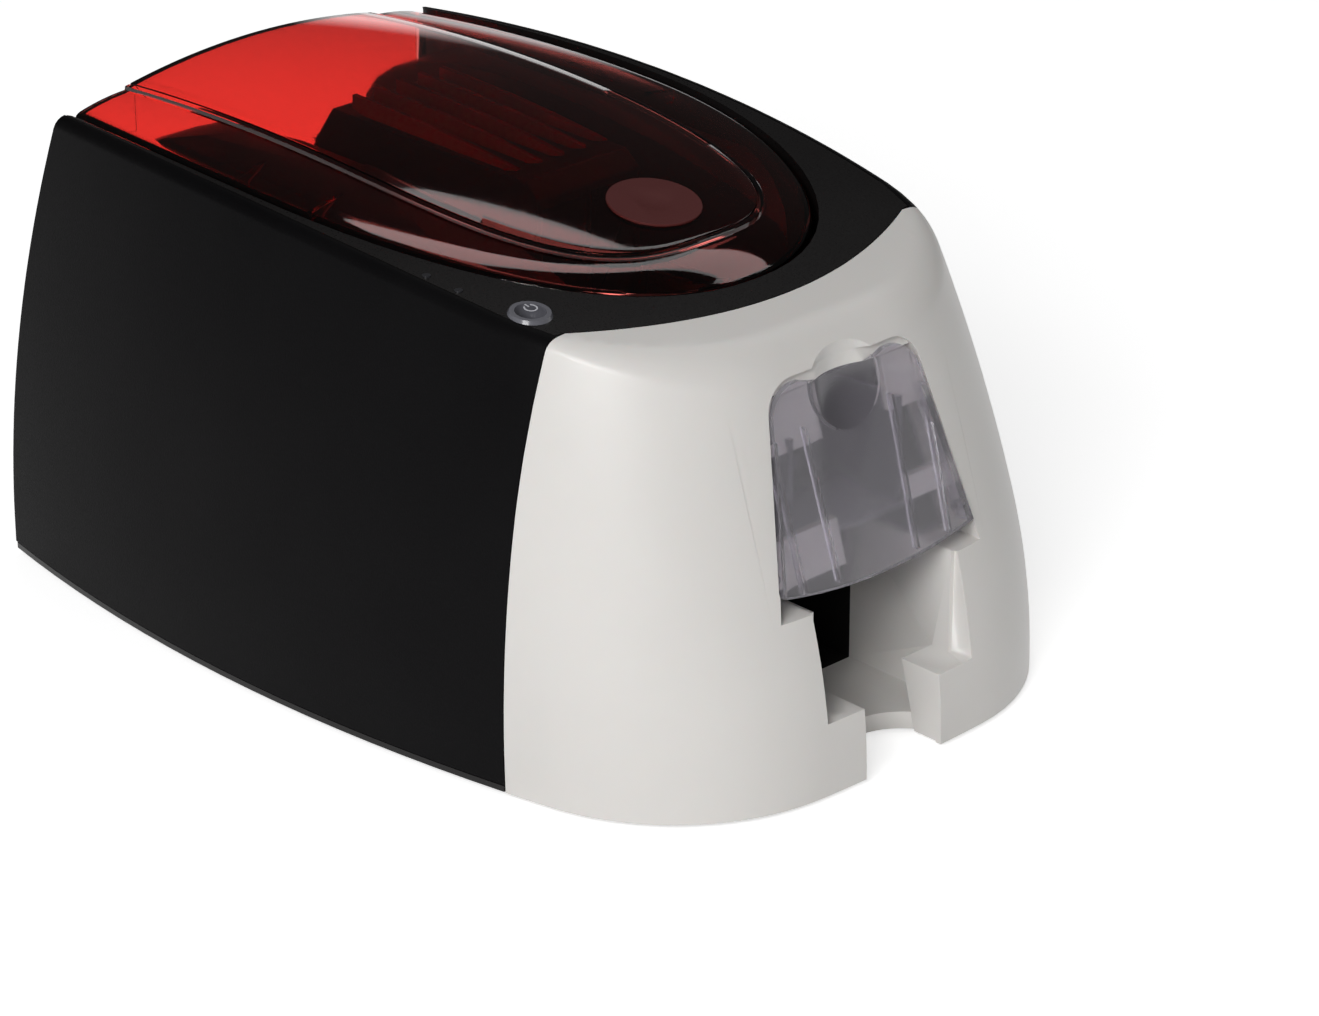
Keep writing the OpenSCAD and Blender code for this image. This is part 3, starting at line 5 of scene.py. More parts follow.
import bmesh
import bpy
from mathutils import Matrix, Vector

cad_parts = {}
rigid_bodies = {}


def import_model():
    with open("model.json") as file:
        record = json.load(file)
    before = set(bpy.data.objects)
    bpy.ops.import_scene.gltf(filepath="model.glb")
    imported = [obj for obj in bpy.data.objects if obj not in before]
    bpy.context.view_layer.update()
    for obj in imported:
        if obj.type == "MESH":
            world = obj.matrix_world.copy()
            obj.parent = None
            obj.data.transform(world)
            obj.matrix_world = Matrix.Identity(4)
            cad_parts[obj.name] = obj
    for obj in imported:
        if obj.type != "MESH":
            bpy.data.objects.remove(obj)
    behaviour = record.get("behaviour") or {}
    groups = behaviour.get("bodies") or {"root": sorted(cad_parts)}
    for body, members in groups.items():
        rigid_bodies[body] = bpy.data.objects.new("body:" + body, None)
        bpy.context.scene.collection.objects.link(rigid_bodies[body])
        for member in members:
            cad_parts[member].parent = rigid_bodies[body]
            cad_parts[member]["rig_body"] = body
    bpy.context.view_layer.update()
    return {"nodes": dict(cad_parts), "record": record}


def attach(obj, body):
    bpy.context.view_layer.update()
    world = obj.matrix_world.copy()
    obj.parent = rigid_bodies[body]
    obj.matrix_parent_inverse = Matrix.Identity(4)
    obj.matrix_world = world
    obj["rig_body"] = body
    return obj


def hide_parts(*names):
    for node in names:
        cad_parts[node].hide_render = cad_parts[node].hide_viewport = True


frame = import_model()
nodes = frame["nodes"]
scene = bpy.context.scene

# Points nearer than this are one point, in metres
WELD = 2e-5
FINE_WELD = 1e-6


# Materials
def node_material(name):
    mat = bpy.data.materials.new(name)
    mat.use_nodes = True
    tree = mat.node_tree
    shader = tree.nodes["Principled BSDF"]
    return mat, tree, shader


def object_coords(tree):
    return tree.nodes.new("ShaderNodeTexCoord").outputs["Object"]


def noise(tree, coords, scale, detail=3.0, roughness=0.5):
    tex = tree.nodes.new("ShaderNodeTexNoise")
    tex.inputs["Scale"].default_value = scale
    tex.inputs["Detail"].default_value = detail
    tex.inputs["Roughness"].default_value = roughness
    tree.links.new(coords, tex.inputs["Vector"])
    return tex.outputs["Fac"]


def span(tree, value, low, high):
    """Maps the middle part of a noise value to low to high."""
    node = tree.nodes.new("ShaderNodeMapRange")
    node.inputs["From Min"].default_value = 0.3
    node.inputs["From Max"].default_value = 0.7
    node.inputs["To Min"].default_value = low
    node.inputs["To Max"].default_value = high
    tree.links.new(value, node.inputs["Value"])
    return node.outputs["Result"]


def shade_between(tree, value, dark, light):
    """Dark to light as a noise value goes through its middle part."""
    ramp = tree.nodes.new("ShaderNodeValToRGB")
    ramp.color_ramp.elements[0].position = 0.35
    ramp.color_ramp.elements[1].position = 0.65
    ramp.color_ramp.elements[0].color = (*dark, 1)
    ramp.color_ramp.elements[1].color = (*light, 1)
    tree.links.new(value, ramp.inputs["Fac"])
    return ramp.outputs["Color"]


def bump(tree, shader, height, strength, distance):
    node = tree.nodes.new("ShaderNodeBump")
    node.inputs["Strength"].default_value = strength
    node.inputs["Distance"].default_value = distance
    tree.links.new(height, node.inputs["Height"])
    tree.links.new(node.outputs["Normal"], shader.inputs["Normal"])


def plastic(name, dark, light, rough, grain, strength, depth, coat=0.0, soft=0.0, spec=0.5):
    """Moulded plastic: a slight tone change, a grained surface, and roughness that varies."""
    mat, tree, shader = node_material(name)
    coords = object_coords(tree)
    tint = shade_between(tree, noise(tree, coords, 14.0), dark, light)
    tree.links.new(tint, shader.inputs["Base Color"])
    fine = noise(tree, coords, grain, 2.0)
    tree.links.new(span(tree, fine, rough - 0.04, rough + 0.04), shader.inputs["Roughness"])
    bump(tree, shader, fine, strength, depth)
    shader.inputs["Coat Weight"].default_value = coat
    shader.inputs["Coat Roughness"].default_value = 0.2
    shader.inputs["Subsurface Weight"].default_value = soft
    shader.inputs["Subsurface Scale"].default_value = 0.002
    shader.inputs["Specular IOR Level"].default_value = spec
    return mat


def clear_plastic(name, color, rough, grain=220.0, strength=0.02, spec=0.5, clear=1.0):
    """See-through moulded plastic with faint flow waves."""
    mat, tree, shader = node_material(name)
    coords = object_coords(tree)
    waves = noise(tree, coords, 9.0, 2.0)
    pale = tuple(min(1.0, c * 1.04) for c in color)
    tree.links.new(shade_between(tree, waves, color, pale), shader.inputs["Base Color"])
    fine = noise(tree, coords, grain, 2.0)
    tree.links.new(span(tree, fine, rough, rough + 0.03), shader.inputs["Roughness"])
    bump(tree, shader, waves, strength, 0.002)
    shader.inputs["Transmission Weight"].default_value = clear
    shader.inputs["IOR"].default_value = 1.49
    shader.inputs["Specular IOR Level"].default_value = spec
    return mat


def metal(name, dark, light, rough, grain=600.0):
    """Rolled or ground metal with fine streaks along X."""
    mat, tree, shader = node_material(name)
    coords = object_coords(tree)
    stretch = tree.nodes.new("ShaderNodeMapping")
    stretch.inputs["Scale"].default_value = (0.08, 1.0, 1.0)
    tree.links.new(coords, stretch.inputs["Vector"])
    streak = noise(tree, stretch.outputs["Vector"], grain, 3.0)
    tree.links.new(shade_between(tree, streak, dark, light), shader.inputs["Base Color"])
    tree.links.new(span(tree, streak, rough - 0.06, rough + 0.08), shader.inputs["Roughness"])
    bump(tree, shader, streak, 0.05, 0.0002)
    shader.inputs["Metallic"].default_value = 1.0
    return mat


MATERIALS = {
    "black_texture": plastic(
        "black_texture", (0.0032, 0.0030, 0.0034), (0.0042, 0.0040, 0.0044),
        0.50, 1700.0, 0.30, 0.0003, spec=0.05,
    ),
    "black_satin": plastic(
        "black_satin", (0.0065, 0.0055, 0.0055), (0.0085, 0.0075, 0.0075),
        0.30, 1200.0, 0.05, 0.0001, spec=0.25,
    ),
    "white_shell": plastic(
        "white_shell", (0.70, 0.68, 0.655), (0.72, 0.70, 0.675),
        0.36, 900.0, 0.06, 0.0001, soft=0.05,
    ),
    "lid_red": clear_plastic("lid_red", (0.97, 0.19, 0.165), 0.02, strength=0.01, spec=0.14),
    "lid_deep": plastic(
        "lid_deep", (0.15, 0.006, 0.006), (0.18, 0.008, 0.008),
        0.22, 500.0, 0.05, 0.0001,
    ),
    "smoke_cover": clear_plastic(
        "smoke_cover", (0.87, 0.84, 0.90),
        0.19, 500.0, 0.05, spec=0.4, clear=0.92,
    ),
    # Painted shade for the white hopper: a lighter grey for its upward faces and a darker one for
    # the rest
    "hopper_painted_shade_light": plastic(
        "hopper_painted_shade_light", (0.40, 0.39, 0.42), (0.44, 0.43, 0.46),
        0.4, 800.0, 0.05, 0.0001,
    ),
    "hopper_painted_shade_deep": plastic(
        "hopper_painted_shade_deep", (0.075, 0.070, 0.090), (0.085, 0.080, 0.100),
        0.4, 800.0, 0.05, 0.0001,
    ),
    "sign_pale": plastic(
        "sign_pale", (0.50, 0.50, 0.54), (0.56, 0.56, 0.60),
        0.35, 800.0, 0.03, 0.0001,
    ),
    "disc_matt": plastic(
        "disc_matt", (0.085, 0.018, 0.017), (0.100, 0.022, 0.020),
        0.50, 1500.0, 0.1, 0.0002, spec=0.15,
    ),
    "black_inner": plastic(
        "black_inner", (0.010, 0.009, 0.009), (0.013, 0.012, 0.012),
        0.4, 800.0, 0.1, 0.0002, spec=0.15,
    ),
    "rubber_black": plastic(
        "rubber_black", (0.014, 0.014, 0.014), (0.022, 0.022, 0.022),
        0.72, 900.0, 0.2, 0.0003,
    ),
    "rubber_grey": plastic(
        "rubber_grey", (0.07, 0.07, 0.075), (0.09, 0.09, 0.095),
        0.66, 900.0, 0.2, 0.0003,
    ),
    "sheet_steel": metal("sheet_steel", (0.50, 0.51, 0.53), (0.62, 0.63, 0.65), 0.38),
    "bright_steel": metal("bright_steel", (0.62, 0.62, 0.64), (0.72, 0.72, 0.74), 0.22),
    "board_green": plastic(
        "board_green", (0.012, 0.10, 0.035), (0.018, 0.13, 0.05),
        0.35, 500.0, 0.08, 0.0002, coat=0.3,
    ),
    "gear_white": plastic(
        "gear_white", (0.70, 0.70, 0.65), (0.76, 0.76, 0.71),
        0.40, 700.0, 0.05, 0.0001, soft=0.1,
    ),
    "brass": metal("brass", (0.66, 0.50, 0.22), (0.78, 0.62, 0.30), 0.28),
    "button_grey": plastic(
        "button_grey", (0.12, 0.12, 0.14), (0.15, 0.15, 0.17),
        0.22, 900.0, 0.04, 0.0001, coat=0.5,
    ),
    "lens_clear": plastic(
        "lens_clear", (0.020, 0.020, 0.024), (0.028, 0.028, 0.032),
        0.12, 300.0, 0.02, 0.0001, coat=0.5,
    ),
    "ribbon_dark": plastic(
        "ribbon_dark", (0.015, 0.018, 0.05), (0.02, 0.024, 0.07),
        0.22, 400.0, 0.03, 0.0001, coat=0.3,
    ),
    "film_dark": plastic(
        "film_dark", (0.02, 0.016, 0.04), (0.03, 0.022, 0.055),
        0.16, 300.0, 0.04, 0.0001, coat=0.4,
    ),
    "head_ceramic": plastic(
        "head_ceramic", (0.50, 0.43, 0.30), (0.58, 0.50, 0.36),
        0.25, 500.0, 0.04, 0.0001, coat=0.4,
    ),
    "alu": metal("alu", (0.66, 0.67, 0.69), (0.74, 0.75, 0.77), 0.30),
}
SLOT = {part["node"]: part["material_slot"] for part in frame["record"]["subparts"]}
for node_name, cad in nodes.items():
    cad.data.materials.clear()
    cad.data.materials.append(MATERIALS[SLOT[node_name]])


# Shape of the outer surface, in millimetres: Y from the rear edge, z from the visible bottom edge
HALF_W, BODY_LEN, SIDE_R, SIDE_APEX, FRONT_R, CORNER_R = 140.0, 384.0, 780.0, 145.0, 900.0, 84.0
TOP_Z, TOP_APEX, TOP_R, EDGE_R, BROW_R, SEAM_X = 187.0, 105.0, 1340.0, 4.2, 13.0, 96.0
SIDE_C = (HALF_W - SIDE_R, -SIDE_APEX)
FRONT_C = (0.0, FRONT_R - BODY_LEN)
ORIGIN_Y, FOOT_Z = 192.0, 2.0

# The sides lean in above LEAN_Z; the front bows up to BEND_Z and goes on straight above it
LEAN_Z, SIDE_BOW = 10.0, 1080.0
BEND_Z, FRONT_BOW = 70.0, 462.0
FRONT_RUN = FRONT_BOW / 2


def to_mm(p):
    """Metres of the shared frame to millimetres from the rear and the bottom edge."""
    return p[0] * 1000.0, p[1] * 1000.0 - ORIGIN_Y, p[2] * 1000.0 - FOOT_Z


def to_m(p):
    return Vector((p[0] / 1000.0, (p[1] + ORIGIN_Y) / 1000.0, (p[2] + FOOT_Z) / 1000.0))


def side_lean(z):
    return max(0.0, z - LEAN_Z) ** 2 / SIDE_BOW


def front_lean(z):
    if z < BEND_Z:
        return z * z / FRONT_BOW
    return BEND_Z * BEND_Z / FRONT_BOW + (z - BEND_Z) * BEND_Z / FRONT_RUN


def front_y(z):
    """Place of the front face on the middle line."""
    return front_lean(z) - BODY_LEN


def surf_z(y):
    """Height of the top surface."""
    return TOP_Z - (y + TOP_APEX) ** 2 / (2 * TOP_R)


def corner_c(z):
    """Centre of the arc that joins side and front at this height."""
    ra = SIDE_R - side_lean(z) - CORNER_R
    rb = FRONT_R - front_lean(z) - CORNER_R
    dx, dy = FRONT_C[0] - SIDE_C[0], FRONT_C[1] - SIDE_C[1]
    d = math.hypot(dx, dy)
    ex, ey = dx / d, dy / d
    m = (ra * ra - rb * rb + d * d) / (2 * d)
    h = math.sqrt(ra * ra - m * m)
    return SIDE_C[0] + ex * m + h * ey, SIDE_C[1] + ey * m - h * ex


def plan_gap(x, y, z):
    """Distance outside the outline at this height: below zero inside."""
    x = abs(x)
    c = corner_c(z)
    side_end = math.atan2(c[1] - SIDE_C[1], c[0] - SIDE_C[0])
    if math.atan2(y - SIDE_C[1], x - SIDE_C[0]) > side_end:
        return math.hypot(x - SIDE_C[0], y - SIDE_C[1]) - SIDE_R + side_lean(z)
    if math.atan2(y - FRONT_C[1], x) < math.atan2(c[1] - FRONT_C[1], c[0]):
        return math.hypot(x, y - FRONT_C[1]) - FRONT_R + front_lean(z)
    return math.hypot(x - c[0], y - c[1]) - CORNER_R


def shell_gap(x, y, z, white):
    """Distance outside the rounded shell; the white front's brow is rounder in the middle."""
    r = BROW_R + (EDGE_R - BROW_R) * min(1.0, abs(x) / SEAM_X) ** 3 if white else EDGE_R
    d, h = plan_gap(x, y, z), z - surf_z(y)
    if d > -r and h > -r:
        return math.hypot(d + r, h + r) - r
    return max(d, h)


def shell_slope(x, y, z, white):
    """Direction straight out of the shell."""
    e = 0.05
    return Vector((
        shell_gap(x + e, y, z, white) - shell_gap(x - e, y, z, white),
        shell_gap(x, y + e, z, white) - shell_gap(x, y - e, z, white),
        shell_gap(x, y, z + e, white) - shell_gap(x, y, z - e, white),
    )) / (2 * e)


def steps(low, high, pitch):
    """Places between low and high, about a pitch apart."""
    count = max(1, round((high - low) / pitch))
    return [low + (high - low) * k / count for k in range(1, count)]


# Pieces that stand for CAD nodes with rounded edges and smooth shading
def piece(name, mesh, node_name, materials=()):
    obj = bpy.data.objects.new(name, mesh)
    scene.collection.objects.link(obj)
    if materials:
        mesh.materials.clear()
        for m in materials:
            mesh.materials.append(MATERIALS[m])
    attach(obj, nodes[node_name]["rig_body"])
    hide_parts(node_name)
    return obj


def clean_copy(node_name):
    """Copy of a node's mesh with its points welded and its flat faces joined."""
    mesh = nodes[node_name].data.copy()
    mesh.name = node_name + "_skin"
    work = bmesh.new()
    work.from_mesh(mesh)
    bmesh.ops.remove_doubles(work, verts=work.verts, dist=WELD)
    bmesh.ops.dissolve_limit(
        work, angle_limit=math.radians(0.15), verts=work.verts, edges=work.edges
    )
    bmesh.ops.recalc_face_normals(work, faces=work.faces)
    for attribute in [a.name for a in mesh.attributes if a.name == "custom_normal"]:
        mesh.attributes.remove(mesh.attributes[attribute])
    return mesh, work


def shade_smooth(mesh, angle):
    """Smooth shading with hard edges above an angle in degrees."""
    mesh.polygons.foreach_set("use_smooth", [True] * len(mesh.polygons))
    mesh.set_sharp_from_angle(angle=math.radians(angle))


def smooth_skin(node_name, edge, angle=28.0):
    """A node's own shape with smooth shading and rounded edges of a width in metres."""
    mesh, work = clean_copy(node_name)
    work.to_mesh(mesh)
    work.free()
    shade_smooth(mesh, angle)
    skin = piece(node_name + "_skin", mesh, node_name)
    soften = skin.modifiers.new("edge", "BEVEL")
    soften.width = edge
    soften.segments = 2
    soften.limit_method = "ANGLE"
    soften.angle_limit = math.radians(angle)
    soften.harden_normals = True
    return skin


# The finger dish: its middle's height in millimetres, then in metres how far the ball that
# cuts it stands out, that ball's radius and the radius kept free round the middle
DISH_Z = 146.0
BALL_OUT, BALL_R, DISH_R = 0.0255, 0.0318, 0.0187
DISH_C = to_m((0.0, front_y(DISH_Z), DISH_Z))
FRONT_ANGLE = math.atan(BEND_Z / FRONT_RUN)
DISH_OUT = Vector((0.0, -math.cos(FRONT_ANGLE), math.sin(FRONT_ANGLE)))
DISH_BALL = DISH_C + DISH_OUT * BALL_OUT


def in_dish(p):
    """Whether a point belongs to the finger dish."""
    return (p - DISH_BALL).length < BALL_R or (p - DISH_C).length < DISH_R


def lay_on_skin(v, white):
    """Moves a point onto the exact outer surface."""
    for _ in range(3):
        x, y, z = to_mm(v.co)
        g = shell_slope(x, y, z, white)
        v.co -= g * (shell_gap(x, y, z, white) / max(0.2, g.length_squared)) / 1000.0


# Marks of the faces of a shell
INNER, OUTER, BEVEL = 0, 1, 2
# An outer face is this near the exact surface, in millimetres, and faces out by this cosine
SKIN_NEAR, SKIN_FACING = 2.4, 0.92
# Height from which the white brow is cut finer, and the pitch of those cuts, in metres
BROW_FROM, BROW_PITCH = 0.158, 0.0018


def shell_skin(node_name, white, pitch, edge=0.0, soften=None):
    """A shell whose outer faces are cut fine and laid on the exact curved surface."""
    mesh, work = clean_copy(node_name)
    mark = work.faces.layers.int.new("outer")
    if edge:
        sharp = [
            e for e in work.edges
            if len(e.link_faces) == 2 and e.calc_face_angle_signed(0) > math.radians(30)
            and all(soften(v.co) for v in e.verts)
        ]
        made = bmesh.ops.bevel(
            work, geom=sharp, offset=edge, segments=3, profile=0.5,
            affect="EDGES", clamp_overlap=True,
        )
        for f in made["faces"]:
            f[mark] = BEVEL
    if white:
        for v in work.verts:
            if shell_gap(*to_mm(v.co), white) > 0.02:
                lay_on_skin(v, white)
        bmesh.ops.remove_doubles(work, verts=work.verts, dist=WELD)
    work.normal_update()
    for f in work.faces:
        c = f.calc_center_median()
        x, y, z = to_mm(c)
        near = abs(shell_gap(x, y, z, white)) < SKIN_NEAR
        if f[mark] == INNER and near and not (white and in_dish(c)):
            if f.normal.dot(shell_slope(x, y, z, white).normalized()) > SKIN_FACING:
                f[mark] = OUTER
    bmesh.ops.triangulate(work, faces=[f for f in work.faces if f[mark] == OUTER])
    low = [min(v.co[i] for v in work.verts) for i in range(3)]
    high = [max(v.co[i] for v in work.verts) for i in range(3)]
    cuts = [(i, w) for i in range(3) for w in steps(low[i], high[i], pitch[i])]
    if white:
        cuts += [(2, w) for w in steps(BROW_FROM, high[2], BROW_PITCH)]
    for axis, place in cuts:
        faces = [
            f for f in work.faces
            if f[mark] == OUTER
            and min(v.co[axis] for v in f.verts) < place - FINE_WELD
            and max(v.co[axis] for v in f.verts) > place + FINE_WELD
        ]
        parts = set(faces)
        for f in faces:
            parts.update(f.edges)
            parts.update(f.verts)
        if parts:
            normal = Vector((0, 0, 0))
            normal[axis] = 1
            spot = Vector((0, 0, 0))
            spot[axis] = place
            bmesh.ops.bisect_plane(
                work, geom=list(parts), plane_co=spot, plane_no=normal, dist=FINE_WELD
            )
    outer = {v for f in work.faces if f[mark] == OUTER for v in f.verts}
    for v in outer:
        lay_on_skin(v, white)
    work.normal_update()
    bmesh.ops.triangulate(work, faces=[f for f in work.faces if len(f.verts) > 4])
    work.verts.index_update()
    exact = {v.index: shell_slope(*to_mm(v.co), white).normalized() for v in outer}
    kinds = [OUTER if all(v in outer for v in f.verts) else f[mark] for f in work.faces]
    work.to_mesh(mesh)
    work.free()
    shade_smooth(mesh, 26)
    normals = []
    for poly, kind in zip(mesh.polygons, kinds):
        for k in poly.loop_indices:
            v = mesh.loops[k].vertex_index
            use = v in exact and (
                kind == OUTER or (kind == BEVEL and exact[v].dot(poly.normal) > 0.5)
            )
            normals.append(exact[v] if use else Vector((0, 0, 0)))
    mesh.normals_split_custom_set(normals)
    return piece(node_name + "_skin", mesh, node_name)


def front_opening(p):
    """Whether a point belongs to the opening in the white front."""
    x, y, z = to_mm(p)
    return abs(x) < 62 and y < -340 and -1 < z < 172


shell_skin("front_shell", True, (0.005, 0.02, 0.006), 0.0009, front_opening)
shell_skin("left_side_panel", False, (0.02, 0.008, 0.008))
shell_skin("right_side_panel", False, (0.02, 0.008, 0.008))
shell_skin("top_frame", False, (0.006, 0.006, 0.05))

# The lid: one thin moulding with a stepped ridge, its rear wall and the ribs under its middle
LID_X, LID_REAR_X, LID_MID, LID_REAR, LID_NOSE, LID_N = 100.5, 91.0, 136.0, 8.5, 163.5, 2.19
RIDGE_X, RIDGE_NOSE, RIDGE_N, BAND = 0.65 * LID_X, LID_NOSE - 24.0, 2.9, 3.4
CROWN_RISE, CROWN_Y, CROWN_BOW, PANEL_BOW = 13.2, 103.0, 1716.0, 660.0
LID_T, ROLL_REACH, ROLL_RISE, RIDGE_RISE = 2.3, 2.6, 2.4, 1.5
# Reach and height of the points of the rolled edge, then share and height of those of the ridge
ROLL = (
    (0, -6.0), (0, -1.0), (0, 0.0), (0.25, 0.8), (0.7, 1.35), (1.5, 1.9),
    (ROLL_REACH, ROLL_RISE),
)
RIDGE = (
    (0.10, 1.0), (0.18, 1.12), (0.72, 1.28), (0.80, 0.95), (0.88, 0.98), (0.95, 1.42),
    (1.0, RIDGE_RISE),
)


def crown(y):
    """Height of the raised panel on the middle line."""
    return TOP_Z + CROWN_RISE - (y + CROWN_Y) ** 2 / CROWN_BOW


def panel_z(x, y):
    """Height of the raised panel."""
    return crown(y) - x * x / PANEL_BOW


def toward(a, b, d):
    """Point at a distance from a on the way to b."""
    n = max(0.01, math.hypot(b[0] - a[0], b[1] - a[1]))
    return a[0] + (b[0] - a[0]) * d / n, a[1] + (b[1] - a[1]) * d / n


def lid_station(s):
    """Edge, ridge and middle points in plan: s is 0 at the rear, 1 where widest, 2 at the nose."""
    if s <= 1:
        y = -LID_REAR + (-LID_MID + LID_REAR) * s
        w = ((y + LID_MID) / (LID_MID - LID_REAR)) ** 2
        return (LID_X - (LID_X - LID_REAR_X) * w, y), (RIDGE_X - 3 * w, y), (0.0, y)
    v = math.radians(90 * (s - 1))
    c, q = (0.0 if s >= 2 else math.cos(v)), math.sin(v)
    return (
        (LID_X * c ** (2 / LID_N), -LID_MID - LID_NOSE * q ** (2 / LID_N)),
        (RIDGE_X * c ** (2 / RIDGE_N), -LID_MID - RIDGE_NOSE * q ** (2 / RIDGE_N)),
        (0.0, -LID_MID - 0.72 * LID_NOSE * q ** 1.1),
    )


def lid_profile(s, inner):
    """Half a section of the lid from its edge over the ridge to the middle."""
    e, r, m = lid_station(s)
    f = toward(r, e, BAND)
    z0, z1 = surf_z(e[1]) - ROLL_RISE, panel_z(*f) - RIDGE_RISE
    span_ef = math.hypot(f[0] - e[0], f[1] - e[1])
    t = LID_T if inner else 0.0
    out = []
    for reach, height in ROLL:
        x, y = toward(e, f, reach * (0.5 if inner else 1) + t)
        out.append((x, y, z0 + height - (t * max(0.0, height) / ROLL_RISE)))
    for k in range(1, 11):
        u = k / 10
        x, y = toward(e, f, ROLL_REACH + (span_ef - ROLL_REACH) * u + t * (1 - u) * 0.5)
        bulge = 2.6 * u * (1 - u)
        out.append((x, y, z0 + ROLL_RISE + (z1 - z0 - ROLL_RISE) * u + bulge - t))
    zr = panel_z(*r)
    for w, lift in RIDGE:
        x, y = f[0] + (r[0] - f[0]) * w, f[1] + (r[1] - f[1]) * w
        z = z1 + (zr - z1) * (w if inner else lift / RIDGE_RISE) - t
        out.append((x, y, z))
    for k in range(1, 13):
        u = k / 12
        x, y = r[0] + (m[0] - r[0]) * u, r[1] + (m[1] - r[1]) * u
        out.append((x, y, panel_z(x, y) - t))
    return out


def mesh_from(name, build, sharp):
    """Smooth mesh of what build makes, with hard edges above an angle in degrees."""
    mesh = bpy.data.meshes.new(name)
    work = bmesh.new()
    build(work)
    bmesh.ops.remove_doubles(work, verts=work.verts, dist=FINE_WELD)
    bmesh.ops.recalc_face_normals(work, faces=work.faces)
    work.to_mesh(mesh)
    work.free()
    shade_smooth(mesh, sharp)
    return mesh


def full_row(half):
    """Half a section and its mirror image."""
    return half + [(-x, y, z) for x, y, z in reversed(half[:-1])]


def skin_faces(work, rows):
    """Faces over rows of points, which it returns as points of the mesh."""
    grid = [[work.verts.new(to_m(p)) for p in row] for row in rows]
    for k in range(len(grid) - 1):
        for j in range(len(grid[0]) - 1):
            work.faces.new((grid[k][j], grid[k][j + 1], grid[k + 1][j + 1], grid[k + 1][j]))
    return grid


def build_lid(work):
    stations = [k / 28 for k in range(29)] + [1 + k / 72 for k in range(1, 73)]
    outer = skin_faces(work, [full_row(lid_profile(s, False)) for s in stations])
    inner = skin_faces(work, [full_row(lid_profile(s, True)) for s in stations])
    for k in range(len(stations) - 1):
        for j in (0, -1):
            work.faces.new((outer[k][j], outer[k + 1][j], inner[k + 1][j], inner[k][j]))
    for j in range(len(outer[0]) - 1):
        work.faces.new((outer[0][j], outer[0][j + 1], inner[0][j + 1], inner[0][j]))


def join_rings(work, rings):
    """Faces between rings of points, each ring to the next."""
    for a, b in zip(rings, rings[1:]):
        for k in range(len(a)):
            n = (k + 1) % len(a)
            work.faces.new((a[k], a[n], b[n], b[k]))


def close_bar(work, rings):
    """A closed bar from rings of points."""
    join_rings(work, rings)
    work.faces.new(rings[0])
    work.faces.new(list(reversed(rings[-1])))


def build_box(work, columns):
    """A closed bar from columns of four corner points each, in millimetres."""
    close_bar(work, [[work.verts.new(to_m(p)) for p in ring] for ring in columns])


def under_lid(x, y):
    """Height of the lid's underside at the rear wall."""
    row = lid_profile((-y - LID_REAR) / (LID_MID - LID_REAR), True)
    for a, b in zip(row, row[1:]):
        if b[0] <= abs(x) <= a[0] and a[0] > b[0]:
            return a[2] + (b[2] - a[2]) * (a[0] - abs(x)) / (a[0] - b[0])
    return panel_z(x, y) - LID_T


def wall_foot(x):
    """Lower edge of the rear wall, clear of the pins in the knuckles and the lugs beside them."""
    if 61.0 < abs(x) < 73.5:
        return 150.0
    return 153.0 if 73.5 < abs(x) < 80.5 else 141.0


def build_lid_wall(work):
    half = [0, 15, 30, 45, 56, 60.6, 60.9, 61.4, 66, 73.3, 73.6, 80.4, 80.8, 84, 87, 88.4]
    xs = [-x for x in reversed(half[1:])] + half
    columns = []
    for x in xs:
        back = -8.0 if abs(x) < 61 else -8.6
        top = under_lid(x, -9.6) - 0.05
        foot = wall_foot(x)
        columns.append([(x, -10.8, foot), (x, back, foot), (x, back, top), (x, -10.8, top)])
    build_box(work, columns)


RIBS, RIB_PITCH, RIB_START, RIB_LENGTH, RIB_Z = 5, 11.4, -101, 96, 190
RIB_PARTS = 16


def build_lid_ribs(work):
    for k in range(RIBS):
        x = (k - RIBS // 2) * RIB_PITCH
        columns = []
        for j in range(RIB_PARTS + 1):
            y = RIB_START - RIB_LENGTH * j / RIB_PARTS
            drop = 1.6 if j in (0, RIB_PARTS) else 0.0
            top = panel_z(x, y) - 2.35
            foot = RIB_Z + drop
            columns.append([(x - 1, y, foot), (x + 1, y, foot), (x + 1, y, top), (x - 1, y, top)])
        build_box(work, columns)


def build_gussets(work):
    for side in (-1, 1):
        for y in (-115, -160):
            ring = [
                (LID_X - 20.5, 188.2), (LID_X - 4.6, 184.4),
                (LID_X - 3.4, 180.2), (LID_X - 8.5, 180),
            ]
            build_box(work, [[(side * x, y + d, z) for x, z in ring] for d in (-1, 1)])


KNUCKLE_X0, KNUCKLE_X1, HINGE_Y, HINGE_Z, TURNS = 61.6, 73.6, -9, 147, 32
# Place along X and radius of the rings of a knuckle, out, along and back into its bore
KNUCKLE = (
    (KNUCKLE_X0, 0.0), (KNUCKLE_X0, 3.6), (KNUCKLE_X0 + 0.4, 4.0), (KNUCKLE_X1 - 0.4, 4.0),
    (KNUCKLE_X1, 3.6), (KNUCKLE_X1, 2.4), (KNUCKLE_X0 + 2, 2.4), (KNUCKLE_X0 + 2, 0),
)


def build_knuckles(work):
    for side in (-1, 1):
        rings = []
        for x, r in KNUCKLE:
            ring = []
            for k in range(TURNS):
                turn = 2 * math.pi * k / TURNS
                p = (side * x, HINGE_Y + r * math.cos(turn), HINGE_Z + r * math.sin(turn))
                ring.append(work.verts.new(to_m(p)))
            rings.append(ring)
        join_rings(work, rings)


for name, build, finish in (
    ("lid_shell", build_lid, "lid_red"),
    ("lid_wall", build_lid_wall, "lid_red"),
    ("lid_ribs", build_lid_ribs, "lid_deep"),
    ("lid_gussets", build_gussets, "lid_red"),
    ("lid_knuckles", build_knuckles, "lid_red"),
):
    piece(name, mesh_from(name, build, 24), "lid", (finish,))

